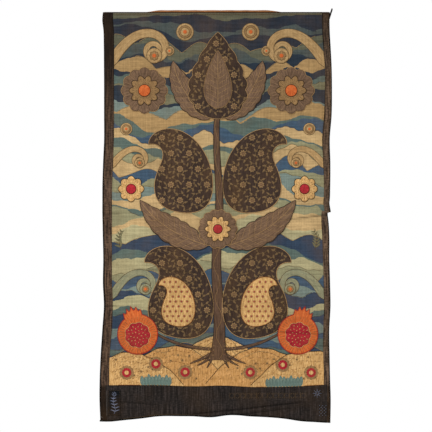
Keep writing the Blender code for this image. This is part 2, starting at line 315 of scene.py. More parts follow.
@dataclass(frozen=True)
class LeafCut:
    """A leaf cut: a bent spine with a half width that swells and closes along it."""

    # Where its turned-under rim lies on its grid, and the power by which its face falls to it
    rim: ClassVar[tuple[tuple[int, int], ...]] = ((0, 0), (1, 1))
    fall: ClassVar[int] = 3
    spine_steps: ClassVar[int] = 400
    root: Pair
    heading: float
    length: float
    half_width: float
    bend: float = 0.0
    bend_power: float = 1.5
    swell: float = 0.6
    tip: float = 0.8
    lobes: float = 0.0
    lobe_count: int = 0
    rows: int = 64
    columns: int = 14
    taper: float = 0.0

    def spine(self, s: Array) -> Arrays:
        """Places and heading along the spine: the running sum of steps whose heading bends with s.

        Args:
            s: Shares of the spine's length, rising from 0.
        Returns:
            Places across, depths, and headings in radians, where a quarter turn is upwards.
        """
        fine = shares(self.spine_steps)
        angle = np.radians(self.heading + self.bend * fine**self.bend_power)
        step = self.length / (self.spine_steps - 1)
        x = self.root[0] + np.concatenate([[0.0], np.cumsum(np.cos(angle[:-1]))]) * step
        depth = self.root[1] - np.concatenate([[0.0], np.cumsum(np.sin(angle[:-1]))]) * step
        return np.interp(s, fine, x), np.interp(s, fine, depth), np.interp(s, fine, angle)

    def half(self, s: Array) -> Array:
        """Half width along the spine: a sine that swells early or late, with scalloped lobes.

        A tapered cut is a strip instead: round at its root, and narrower in step with its length.

        Args:
            s: Shares along the spine.
        Returns:
            The half width at each.
        """
        if self.taper:
            ends = np.clip(s / 0.06, 0.0, 1.0) * np.clip((1 - s) / 0.02, 0.0, 1.0)
            return self.half_width * (1 - self.taper * s) * np.sqrt(ends)
        plain = np.sin(np.pi * np.clip(s, 0.0, 1.0) ** self.swell)
        scallop = 1 + self.lobes * np.abs(np.sin(np.pi * self.lobe_count * s))
        return self.half_width * np.abs(plain) ** self.tip * scallop

    def at(self, s: Array, v: Array) -> Arrays:
        """Places across and depths: the spine's point plus its normal times v times the half width."""
        (x, depth, angle), reach = self.spine(s), self.half(s) * v
        return x - np.sin(angle) * reach, depth - np.cos(angle) * reach

    def grid(self) -> Arrays:
        """The whole leaf as a grid.

        Returns:
            Places across, depths, and map coordinates in metres: along the spine and across it.
        """
        s = (1 - np.cos(np.pi * shares(self.rows + 1))) / 2
        v = np.linspace(-1.0, 1.0, self.columns + 1)
        s, v = np.meshgrid(s, v, indexing="ij")
        x, depth = self.at(s, v)
        return x, depth, stacked(s * self.length, v * self.half(s))

    def dome(self, power: float) -> Array:
        """How high its face stands on its grid, from 1 in the middle to 0 at both sides."""
        return 1 - np.abs(np.linspace(-1.0, 1.0, self.columns + 1))[None, :] ** power

    def edge(self) -> Arrays:
        """Its outline, from the root up one side and down the other.

        Returns:
            Places across and depths.
        """
        s = (1 - np.cos(np.pi * shares(2 * self.rows + 1))) / 2
        one, other = self.at(s, np.ones_like(s)), self.at(s, -np.ones_like(s))
        return np.append(one[0], other[0][-2::-1]), np.append(one[1], other[1][-2::-1])

    def mirrored(self) -> "LeafCut":
        """The same leaf on the other side of the design's axis."""
        root = (2 * AXIS - self.root[0], self.root[1])
        return replace(self, root=root, heading=180 - self.heading, bend=-self.bend)


@dataclass(frozen=True)
class RoundCut:
    """A round cut: a radius that scallops round its centre, with an optional crown at its top."""

    rim: ClassVar[tuple[tuple[int, int], ...]] = ((0, 1), (0, 0))
    fall: ClassVar[int] = 4
    centre: Pair = (0.0, 0.0)
    radius: float = 1.0
    petals: int = 0
    scallop: float = 0.0
    crown: float = 0.0
    lean: float = 0.0
    rings: int = 8
    steps: int = 96

    def reach(self, turn: Array) -> Array:
        """Radius at each turn: scalloped by the cosine of the petals, raised to points at a crown.

        Args:
            turn: Turns in radians, where a quarter turn is upwards.
        Returns:
            The radius at each.
        """
        petal = 1 - self.scallop * (1 - np.abs(np.cos(self.petals * turn / 2))) if self.petals else 1.0
        up = np.abs((turn - np.pi / 2 - self.lean + np.pi) % (2 * np.pi) - np.pi)
        raised = np.clip(1 - up / 0.45, 0.0, 1.0) ** 0.35
        points = 1.0 - 0.52 * np.abs(np.sin(np.pi * up / 0.18)) ** 0.8
        return self.radius * (petal + self.crown * raised * points)

    def grid(self) -> Arrays:
        """The whole round as rings about its centre.

        Returns:
            Places across, depths, and map coordinates in metres: outwards and round.
        """
        ring, turn = np.meshgrid(
            shares(self.rings + 1), np.linspace(0.0, 2 * np.pi, self.steps + 1), indexing="ij"
        )
        out = self.reach(turn) * ring
        x = self.centre[0] + out * np.cos(turn)
        depth = self.centre[1] - out * np.sin(turn)
        return x, depth, stacked(out, turn * self.radius)

    def dome(self, power: float) -> Array:
        """How high its face stands on its grid, from 1 in the middle to 0 at its edge."""
        return 1 - shares(self.rings + 1)[:, None] ** power

    def edge(self) -> Arrays:
        """Its outline, once round."""
        out = self.reach(turn := np.linspace(0.0, 2 * np.pi, 2 * self.steps + 1))
        return self.centre[0] + out * np.cos(turn), self.centre[1] - out * np.sin(turn)

    def mirrored(self) -> "RoundCut":
        """The same round on the other side of the design's axis."""
        return replace(self, centre=(2 * AXIS - self.centre[0], self.centre[1]), lean=-self.lean)


Cut = LeafCut | RoundCut


def between_borders(x: Array, depth: Array) -> Array:
    """Places across, held just inside the borders' inner edges."""
    return np.clip(x, through(DRAPE.sides, 2, depth) + 0.001, through(DRAPE.sides, 3, depth) - 0.001)


def along_path(x: Array, depth: Array, step: float, start: float = 0.5) -> Arrays:
    """Evenly spaced places along a path.

    Args:
        x: Places across along the path.
        depth: Depths along the path.
        step: Distance between places.
        start: Distance of the first, in steps.
    Returns:
        Places across, depths, and the path's turn in radians there.
    """
    length = np.concatenate([[0.0], np.cumsum(np.hypot(np.diff(x), np.diff(depth)))])
    at = np.arange(start * step, length[-1], step)
    turn = np.unwrap(np.arctan2(-np.gradient(depth), np.gradient(x)))
    return np.interp(at, length, x), np.interp(at, length, depth), np.interp(at, length, turn)


def each(*values: Values) -> list[Array]:
    """Values brought to one length, each with two more axes for the grid of one copy."""
    return [part[:, None, None] for part in np.broadcast_arrays(*np.atleast_1d(*values))]


# Meshes


@dataclass
class MeshPile:
    """Grids that together make one piece, welded where their edges meet.

    Every lift is how far something lies in front of the heading's plane where the cloth is flat, and
    every finish is the index of a material in the piece's list.
    """

    name: str
    places: list[Array] = field(default_factory=list)
    quads: list[Array] = field(default_factory=list)
    maps: list[Array] = field(default_factory=list)
    finishes: list[Array] = field(default_factory=list)
    count: int = 0

    def add(self, points: Array, uv: Array, outward: Array = TOWARDS_VIEWER, finish: int = 0) -> None:
        """Adds a grid of points, or many alike, its faces turned so that most of them look outward.

        Args:
            points: Grid of places, shape (..., rows, columns, 3).
            uv: Map coordinates in metres for each, shape (rows, columns, 2) or with the same lead.
            outward: One direction, or one for each point.
            finish: The finish of its faces.
        """
        index = np.arange(points[..., 0].size).reshape(points.shape[:-1])
        corners = index[..., :-1, :-1], index[..., 1:, :-1], index[..., 1:, 1:], index[..., :-1, 1:]
        quads = stacked(*corners).reshape(-1, 4)
        flat = points.reshape(-1, 3)
        a, b, c, d = (flat[quads[:, k]] for k in range(4))
        normal = np.cross(c - a, d - b)
        facing = np.broadcast_to(outward, points.shape).reshape(-1, 3)[quads[:, 0]]
        if float((normal * facing).sum()) < 0:
            quads = quads[:, ::-1]
        self.places.append(flat)
        self.maps.append(np.broadcast_to(uv, points.shape[:-1] + (2,)).reshape(-1, 2))
        self.quads.append(quads + self.count)
        self.finishes.append(np.full(len(quads), finish))
        self.count += len(flat)

    def shell(self, front: Array, back: Array, uv: Array, back_finish: int = 0) -> None:
        """Adds a closed cloth: a face, a back of as many points, and a rim that joins them.

        Args:
            front: Grid of places on the face.
            back: The same grid on the back.
            uv: Its map coordinates.
            back_finish: The back's finish.
        """
        self.add(front, uv)
        self.add(back, uv, -TOWARDS_VIEWER, back_finish)
        right, up = np.eye(3)[0], np.eye(3)[2]
        for edge, out in ((np.s_[0, :], up), (np.s_[-1, :], -up), (np.s_[:, 0], -right), (np.s_[:, -1], right)):
            self.add(np.stack([front[edge], back[edge]]), np.stack([uv[edge], uv[edge]]), out)

    def cord(
        self, x: Array, depth: Array, lift: Values, radius: float, sides: int = 5, finish: int = 0
    ) -> None:
        """Lays a cord: a circle carried along a path on the cloth, closed at both ends.

        The circle at each point is centre plus radius times (cosine of the turn times the sideways
        direction, plus sine of the turn times the direction to the viewer); its ends taper to a point.

        Args:
            x: Places across along the path.
            depth: Depths along the path.
            lift: Height of its centre.
            radius: Its radius.
            sides: Sides of its section.
            finish: Its finish.
        """
        centre = DRAPE.place(x, depth, lift)
        closed = float(np.abs(centre[0] - centre[-1]).max()) < WELD
        along = np.gradient(centre, axis=0)
        if closed:
            along[0] = along[-1] = centre[1] - centre[-2]
        along /= np.linalg.norm(along, axis=1, keepdims=True) + 1e-9
        sideways = np.cross(along, TOWARDS_VIEWER)[:, None]
        turn = np.linspace(0.0, 2 * np.pi, sides + 1)[None, :]
        reach = np.full((len(centre), 1, 1), radius)
        if not closed:
            reach[0] = reach[-1] = 0.0
        ring = np.cos(turn)[..., None] * sideways + np.sin(turn)[..., None] * TOWARDS_VIEWER
        step = np.linalg.norm(np.diff(centre, axis=0), axis=1)
        length = np.append(0.0, np.cumsum(step))[:, None]
        uv = stacked(turn * radius, length)
        self.add(centre[:, None] + ring * reach, uv, ring, finish)

    def stitches(
        self, x: Values, depth: Values, turn: Values,
        length: float, radius: float, lift: float, finish: int = 0,
    ) -> None:
        """Lays short stitches: each is a slim ellipsoid, half sunk in the cloth, turned its own way.

        Args:
            x: Places across of their middles.
            depth: Depths of their middles.
            turn: Turns in radians.
            length: Length of a stitch.
            radius: Half its width.
            lift: Height of their axes.
            finish: Their finish.
        """
        t = np.sin(np.linspace(-0.5 * np.pi, 0.5 * np.pi, 5))[:, None]
        a = np.linspace(0.0, 2 * np.pi, 6)[None, :]
        along, reach = t * length / 2, radius * np.sqrt(1 - t**2)
        side, up = reach * np.cos(a), reach * np.sin(a)
        x, depth, turn = each(x, depth, turn)
        cos, sin = np.cos(turn), np.sin(turn)
        points = DRAPE.place(x + along * cos - side * sin, depth - along * sin - side * cos, lift + up)
        axis = DRAPE.place(x + along * cos + 0 * side, depth - along * sin + 0 * side, lift)
        uv = stacked(a * radius, along)
        self.add(points, uv, points - axis, finish)

    def cut(self, cut: Cut, lift: float, puff: float, finish: int = 0) -> None:
        """Lays one cut on the ground: its face swells a little inside its edge, which is turned under.

        The face stands at the lift plus the puff times its dome, and an outer line of points at the
        same places sinks to the ground.

        Args:
            cut: The shape.
            lift: Height of its edge.
            puff: How far its middle swells.
            finish: Its finish.
        """
        x, depth, uv = cut.grid()
        x = between_borders(x, depth)
        height = np.broadcast_to(lift + puff * cut.dome(cut.fall), x.shape)
        x, depth = np.pad(x, cut.rim, mode="edge"), np.pad(depth, cut.rim, mode="edge")
        uv = np.pad(uv, cut.rim + ((0, 0),), mode="edge")
        height = np.pad(height, cut.rim, constant_values=LAYERS.ground - LAYERS.tuck)
        self.add(DRAPE.place(x, depth, height), uv, finish=finish)

    def copies(
        self, cut: Cut, lift: float, puff: float, finish: int = 0,
        x: Values = 0.0, depth: Values = 0.0, turn: Values = 0.0, size: Values = 1.0,
    ) -> None:
        """Lays a small cut once or many times: each copy is turned, scaled and moved, with a swollen middle.

        Args:
            cut: The shape, about the origin if it is moved.
            lift: Height of its edge.
            puff: How far its middle swells.
            finish: Its finish.
            x: Places across of the copies.
            depth: Depths of the copies.
            turn: Turns in radians.
            size: Scales.
        """
        grid_x, grid_depth, uv = cut.grid()
        x, depth, turn, size = each(x, depth, turn, size)
        cos, sin = np.cos(turn), np.sin(turn)
        far_x = x + size * (grid_x * cos + grid_depth * sin)
        far_depth = depth + size * (grid_depth * cos - grid_x * sin)
        self.add(DRAPE.place(far_x, far_depth, lift + puff * cut.dome(2)), uv, finish=finish)

    def build(self, materials: Sequence[bpy.types.Material], slot: str) -> bpy.types.Object:
        """Makes the object, welds its seams, gives it its painted crease shade and hangs it on the root body.

        Args:
            materials: Its materials, in the order of the finish indices.
            slot: Not used.
        Returns:
            The finished object.
        """
        mesh = bpy.data.meshes.new(self.name)
        quads = np.concatenate(self.quads)
        mesh.from_pydata(np.concatenate(self.places), [], quads)
        layer = mesh.uv_layers.new(name="UVMap")
        layer.data.foreach_set("uv", np.concatenate(self.maps)[quads.ravel()].astype(np.float32).ravel())
        mesh.polygons.foreach_set("material_index", np.concatenate(self.finishes).astype(np.int32))
        for material in materials:
            mesh.materials.append(material)
        bm = bmesh.new()
        bm.from_mesh(mesh)
        bmesh.ops.remove_doubles(bm, verts=bm.verts, dist=WELD)
        bm.to_mesh(mesh)
        bm.free()
        mesh.shade_smooth()
        # Painted shade for the creases, a value on each vertex
        set_values(mesh, "crease_shade", DRAPE.painted_crease_shade)
        made = bpy.data.objects.new(self.name, mesh)
        bpy.context.scene.collection.objects.link(made)
        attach(made, "root")
        LOG.info("%s: %d faces", self.name, len(mesh.polygons))
        return made


def set_values(mesh: bpy.types.Mesh, name: str, rule: Callable[[Array, Array], Array]) -> None:
    """Gives each vertex a value for the materials to read.

    Args:
        mesh: The mesh.
        name: Name of the attribute.
        rule: Works the values out from places across and depths.
    """
    place = np.zeros(3 * len(mesh.vertices))
    mesh.vertices.foreach_get("co", place)
    values = rule(place[0::3], -place[2::3] - DRAPE.tape_rise)
    mesh.attributes.new(name, "FLOAT", "POINT").data.foreach_set("value", values.astype(np.float32))


# Finishes


def linear(colour: str) -> tuple[float, float, float, float]:
    """Linear colour of an sRGB hex value."""
    parts = [int(colour[k : k + 2], 16) / 255 for k in (1, 3, 5)]
    return (*(p / 12.92 if p <= 0.04045 else ((p + 0.055) / 1.055) ** 2.4 for p in parts), 1.0)


def node(
    tree: Tree, kind: str, sockets: dict | None = None,
    stops: Sequence[tuple[float, str]] = (), **settings,
) -> bpy.types.Node:
    """Adds one node with its settings, values and links.

    Args:
        tree: The material's node tree.
        kind: The node's type, as in ShaderNode followed by it.
        sockets: Input names or numbers, each with a value or with the output that feeds it.
        stops: A colour table's places from 0 to 1 with their hex colours, in rising order.
        settings: The node's own properties.
    Returns:
        The node.
    """
    made = tree.nodes.new("ShaderNode" + kind)
    for key, value in settings.items():
        setattr(made, key, value)
    for key, value in (sockets or {}).items():
        if isinstance(value, Socket):
            tree.links.new(value, made.inputs[key])
        else:
            made.inputs[key].default_value = value
    while stops and len(made.color_ramp.elements) < len(stops):
        made.color_ramp.elements.new(1.0)
    for element, (place, colour) in zip(made.color_ramp.elements if stops else (), stops):
        element.position = place
        element.color = linear(colour)
    return made


def threads(
    tree: Tree, vector: Socket, scale: tuple[float, float, float],
    detail: float = 3.0, roughness: float = 0.6,
) -> Socket:
    """Uneven threads, so many to the metre along each axis: stretched noise, mostly from 0.3 to 0.7."""
    place = node(tree, "Mapping", {"Vector": vector, "Scale": scale}).outputs[0]
    return node(tree, "TexNoise", {0: place, "Scale": 1.0, "Detail": detail, "Roughness": roughness}).outputs[0]


def aged_and_shaded(tree: Tree, colour: Socket, world: Socket, stains: float = 1.0) -> Socket:
    """Soils and shades a colour: darker towards the top, brown stains, the ground's threads showing through,
    and painted shade in the creases.

    Args:
        tree: The material's node tree.
        colour: The clean colour.
        world: Object coordinates in metres.
        stains: How strong the brown stains are.
    Returns:
        The soiled colour.
    """
    height = node(tree, "SeparateXYZ", {"Vector": world}).outputs["Z"]
    crease_shade = node(tree, "Attribute", attribute_name="crease_shade").outputs["Fac"]
    # Darker towards the top, then warp and weft, drawn ten times as coarse as real threads so that they show
    # from afar, then slow unevenness of the whole cloth, a speckle of lint and wear, and painted shade in the
    # creases
    factor = 1.0
    for value, *span in (
        (height, -1.05, 0.0, 0.97, 0.7),
        (threads(tree, world, (105.0, 1.0, 2.6)), *TROUGH_TO_CREST, 0.87, 1.13),
        (threads(tree, world, (3.2, 1.0, 88.0)), *TROUGH_TO_CREST, 0.9, 1.1),
        (threads(tree, world, (3.1, 1.0, 2.4)), *TROUGH_TO_CREST, 0.9, 1.09),
        (threads(tree, world, (95.0, 95.0, 95.0)), *TROUGH_TO_CREST, 0.9, 1.1),
        # Painted shade in the creases, down to 0.35 where it is full
        (crease_shade, 0.0, 1.0, 1.0, 0.35),
    ):
        part = node(tree, "MapRange", {"Value": value, **dict(zip(SPAN, span))}).outputs["Result"]
        factor = node(tree, "Math", {0: factor, 1: part}, operation="MULTIPLY").outputs[0]
    value = threads(tree, world, (5.5, 1.0, 4.2))
    span = dict(zip(SPAN, (*TROUGH_TO_CREST, -0.1 * stains, 0.22 * stains)))
    stain = node(tree, "MapRange", {"Value": value, **span}).outputs["Result"]
    mix = {"Factor": stain, 6: colour, 7: linear("#6a4d2c")}
    tinted = node(tree, "Mix", mix, data_type="RGBA").outputs[2]
    return node(tree, "VectorMath", {0: tinted, "Scale": factor}, operation="SCALE").outputs[0]


class Finish:
    """What every finish shares: dry fibre that hardly shines, with a fine relief of threads."""

    name: str
    relief: float
    roughness: float
    sheen: float
    specular: ClassVar[float] = 0.06

    def yarns(self, tree: Tree, uv: Socket, world: Socket) -> tuple[Socket, Socket]:
        """Colour and height of the finish's threads, given by each kind of finish."""
        raise NotImplementedError

    def material(self) -> bpy.types.Material:
        """Builds the material: the yarns' colour and height on one dry shader.

        Returns:
            The material.
        """
        made = bpy.data.materials.new(self.name)
        made.use_nodes = True
        tree = made.node_tree
        shader = tree.nodes["Principled BSDF"].inputs
        place = node(tree, "TexCoord").outputs
        colour, height = self.yarns(tree, place["UV"], place["Object"])
        bump = node(tree, "Bump", {"Height": height, "Distance": self.relief, "Strength": 1.0})
        tree.links.new(colour, shader["Base Color"])
        tree.links.new(bump.outputs[0], shader["Normal"])
        shader["Roughness"].default_value = self.roughness
        shader["Sheen Weight"].default_value = self.sheen
        shader["Specular IOR Level"].default_value = self.specular
        return made


class Run(Enum):
    """Which way a cloth's threads or stitches run."""

    ACROSS = "across"
    DOWN = "down"
    MAP = "map"


@dataclass(frozen=True)
class Cloth(Finish):
    """Dyed cloth or laid stitching, with rows that show, streaks, stains, handling wear and painted shade in
    the creases.
    """

    name: str
    colour: str
    light: str
    dark: str
    row: float
    streak: float
    relief: float = 0.0007
    roughness: float = 0.88
    run: Run = Run.MAP
    sheen: float = 0.02
    stains: float = 1.0

    def yarns(self, tree: Tree, uv: Socket, world: Socket) -> tuple[Socket, Socket]:
        """Streaks along the rows in three shades, roughened by the threads themselves.

        Args:
            tree: The material's node tree.
            uv: Map coordinates in metres.
            world: Object coordinates in metres.
        Returns:
            Their colour and their height.
        """
        # Rows are drawn as coarse as they need to show: real threads are about a millimetre
        row, streak = 1 / self.row, 1 / self.streak
        scale = {Run.ACROSS: (streak, 1.0, row), Run.DOWN: (row, 1.0, streak), Run.MAP: (streak, row, 1.0)}
        streaks = threads(tree, uv if self.run is Run.MAP else world, scale[self.run])
        stops = (0.3, self.dark), (0.5, self.colour), (0.72, self.light)
        colour = node(tree, "ValToRGB", {"Fac": streaks}, stops).outputs["Color"]
        weave = threads(tree, world, (420.0, 420.0, 420.0), 2.0, 0.5)
        height = node(tree, "Math", {0: streaks, 1: weave, 2: 0.5}, operation="MULTIPLY_ADD")
        return aged_and_shaded(tree, colour, world, self.stains), height.outputs[0]


# Linen and wool ground, pieced and laid in long stitches: crisp patches with uneven streaks inside
@dataclass(frozen=True)
class PiecedGround(Finish):
    """Patchwork of the sky's pieces in long level stitches that interlock at the edges."""

    name: str = "pieced_linen_and_wool"
    interlock: float = 1.1
    relief: float = 0.0012
    roughness: float = 0.9
    sheen: float = 0.02
    # Most stops that one colour table holds
    table: ClassVar[int] = 32

    def yarns(self, tree: Tree, uv: Socket, world: Socket) -> tuple[Socket, Socket]:
        """The mesh's own sky values, roughened by the stitches, step through the pieces' yarns.

        Args:
            tree: The material's node tree.
            uv: Map coordinates, not used here.
            world: Object coordinates in metres.
        Returns:
            Their colour and their height.
        """
        streaks = threads(tree, world, (7.0, 1.0, 95.0), 4.0, 0.65)
        pieces = Sky.pieces
        step = 1 / len(pieces)
        passed = node(tree, "Attribute", attribute_name="sky").outputs["Fac"]
        centred = node(tree, "Math", {0: streaks, 1: 0.5}, operation="SUBTRACT").outputs[0]
        ragged = {0: centred, 1: self.interlock * step, 2: passed}
        share = node(tree, "Math", ragged, operation="MULTIPLY_ADD").outputs[0]
        stops = [(max((k - 0.5) * step, 0.0), row[4].value) for k, row in enumerate(pieces)]
        tables = [
            node(tree, "ValToRGB", {"Fac": share}, part)
            for part in (stops[: self.table], stops[self.table :])
        ]
        for table in tables:
            table.color_ramp.interpolation = "CONSTANT"
        past = node(tree, "Math", {0: share, 1: stops[self.table][0]}, operation="GREATER_THAN")
        mix = {"Factor": past.outputs[0], 6: tables[0].outputs["Color"], 7: tables[1].outputs["Color"]}
        colour = node(tree, "Mix", mix, data_type="RGBA").outputs[2]
        span = dict(zip(SPAN, (0.28, 0.72, 0.74, 1.26)))
        laid = node(tree, "MapRange", {"Value": streaks, **span}).outputs["Result"]
        colour = node(tree, "VectorMath", {0: colour, "Scale": laid}, operation="SCALE").outputs[0]
        return aged_and_shaded(tree, colour, world), streaks


@dataclass(frozen=True)
class RibbedStrip(Finish):
    """Ribbed braid or cloth: ribs along its length, with near-black turned edges."""

    name: str
    colour: str
    light: str
    dark: str
    edge: str
    rib: float
    width: float
    outer: float = 0.007
    inner: float = 0.004
    spread: float = 0.14
    top_darkening: float = 0.0
    top_darkening_ends: Pair = (-0.95, -0.25)
    foot: float = 0.0
    foot_ends: Pair = (-2.262, -2.238)
    relief: float = 0.001
    roughness: float = 0.85
    sheen: float = 0.01
    stains: float = 0.4

    def yarns(self, tree: Tree, uv: Socket, world: Socket) -> tuple[Socket, Socket]:
        """Ribs counted from the outer edge, ticked with lint, with dark edges, a darker top, and darker where
        the foot band's upper edge crosses it.

        Args:
            tree: The material's node tree.
            uv: Map coordinates in metres, the first from the outer edge inwards.
            world: Object coordinates in metres.
        Returns:
            Their colour and their height.
        """
        ribs = threads(tree, uv, (1 / self.rib, 9.0, 1.0))
        ticks = threads(tree, uv, (60.0, 130.0, 1.0), 2.0, 0.5)
        mixed = node(tree, "Math", {0: ticks, 1: 0.45, 2: ribs}, operation="MULTIPLY_ADD").outputs[0]
        stops = (0.72 - self.spread, self.dark), (0.72, self.colour), (0.72 + self.spread, self.light)
        colour = node(tree, "ValToRGB", {"Fac": mixed}, stops).outputs["Color"]
        across = node(tree, "SeparateXYZ", {"Vector": uv}).outputs["X"]
        height = node(tree, "SeparateXYZ", {"Vector": world}).outputs["Z"]
        for value, span, towards in (
            (across, (0.5 * self.outer, self.outer, 1.0, 0.0), self.edge),
            (across, (self.width - self.inner, self.width, 0.0, 0.8), self.edge),
            # Darker towards the top, and darker where the foot band's upper edge crosses the braid
            (height, (*self.top_darkening_ends, 0.0, self.top_darkening), "#140e0a"),
            (height, (*self.foot_ends, self.foot, 0.0), "#140e0a"),
        ):
            share = node(tree, "MapRange", {"Value": value, **dict(zip(SPAN, span))}).outputs["Result"]
            mix = {"Factor": share, 6: colour, 7: linear(towards)}
            colour = node(tree, "Mix", mix, data_type="RGBA").outputs[2]
        return aged_and_shaded(tree, colour, world, self.stains), mixed


# What the sub-assemblies share


@dataclass
class Work:
    """What every sub-assembly needs: the finishes by name, and the cloths and applied pieces so far."""

    finishes: dict[str, bpy.types.Material]
    cloths: dict[str, bpy.types.Object] = field(default_factory=dict)
    applied: list[bpy.types.Object] = field(default_factory=list)

    def make(self, pile: MeshPile, names: Sequence[str], slot: str) -> bpy.types.Object:
        """Builds a piece with the named finishes."""
        return pile.build([self.finishes[name] for name in names], slot)

    def hang(self, pile: MeshPile, names: Sequence[str], slot: str, solid: str) -> None:
        """Builds a cloth that stands for the named solid, keeps it, and hides the solid."""
        self.cloths[pile.name] = self.make(pile, names, slot)
        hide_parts(solid)

    def lay(self, pile: MeshPile, names: Sequence[str], slot: str = "ground_cloth") -> None:
        """Builds an applied piece and keeps it with the other applied pieces."""
        self.applied.append(self.make(pile, names, slot))


@dataclass(frozen=True)
class Applied:
    """One cut in its place: its finish, how high its edge lies on the ground, and its outline cord."""

    cut: Cut
    finish: int
    lift: float
    puff: float = 0.001
    cord: float = 0.0016
    pair: bool = False

    def sides(self) -> list[Cut]:
        """The cut, and its mirror image if it comes in a pair."""
        return [self.cut, self.cut.mirrored()] if self.pair else [self.cut]

    def face(self) -> float:
        """Height of its swollen middle."""
        return LAYERS.ground + self.lift + self.puff


@dataclass
class Part:
    """A sub-assembly: it builds its own pieces and leaves the cloths and applied pieces in the work."""

    work: Work

    def build(self) -> None:
        """Builds its pieces, given by each kind of part."""
        raise NotImplementedError

    def apply(self, name: str, rows: Sequence[Applied], finishes: Sequence[str], cords: Sequence[str]) -> None:
        """Builds one group of applied cuts and the cords laid round them.

        Args:
            name: The group's name.
            rows: The cuts.
            finishes: Names of the finishes that the cuts point to.
            cords: Finish of the outline cord for each of these.
        """
        cloth, outline = MeshPile(name), MeshPile(name + "_cords")
        for row in rows:
            for cut in row.sides():
                cloth.cut(cut, LAYERS.ground + row.lift, row.puff, row.finish)
                if row.cord:
                    x, depth = cut.edge()
                    x = between_borders(x, depth)
                    outline.cord(x, depth, LAYERS.ground + row.lift + 0.0002, row.cord, finish=row.finish)
        self.work.lay(cloth, finishes)
        self.work.lay(outline, cords)


# The sky of the field


class Dye(Enum):
    """Yarns of the pieced sky."""

    DUSK = "#565646"
    NIGHT = "#282d36"
    SLATE = "#434a48"
    NAVY = "#262f39"
    INDIGO = "#2e3b4c"
    BLUE = "#3a4c5d"
    MOSS = "#6a6750"
    SEA = "#4f5d57"
    MIST = "#66726b"
    SAGE = "#807d60"
    PALE = "#99916e"
    TAN = "#9a7d54"
    CREAM = "#ab9066"


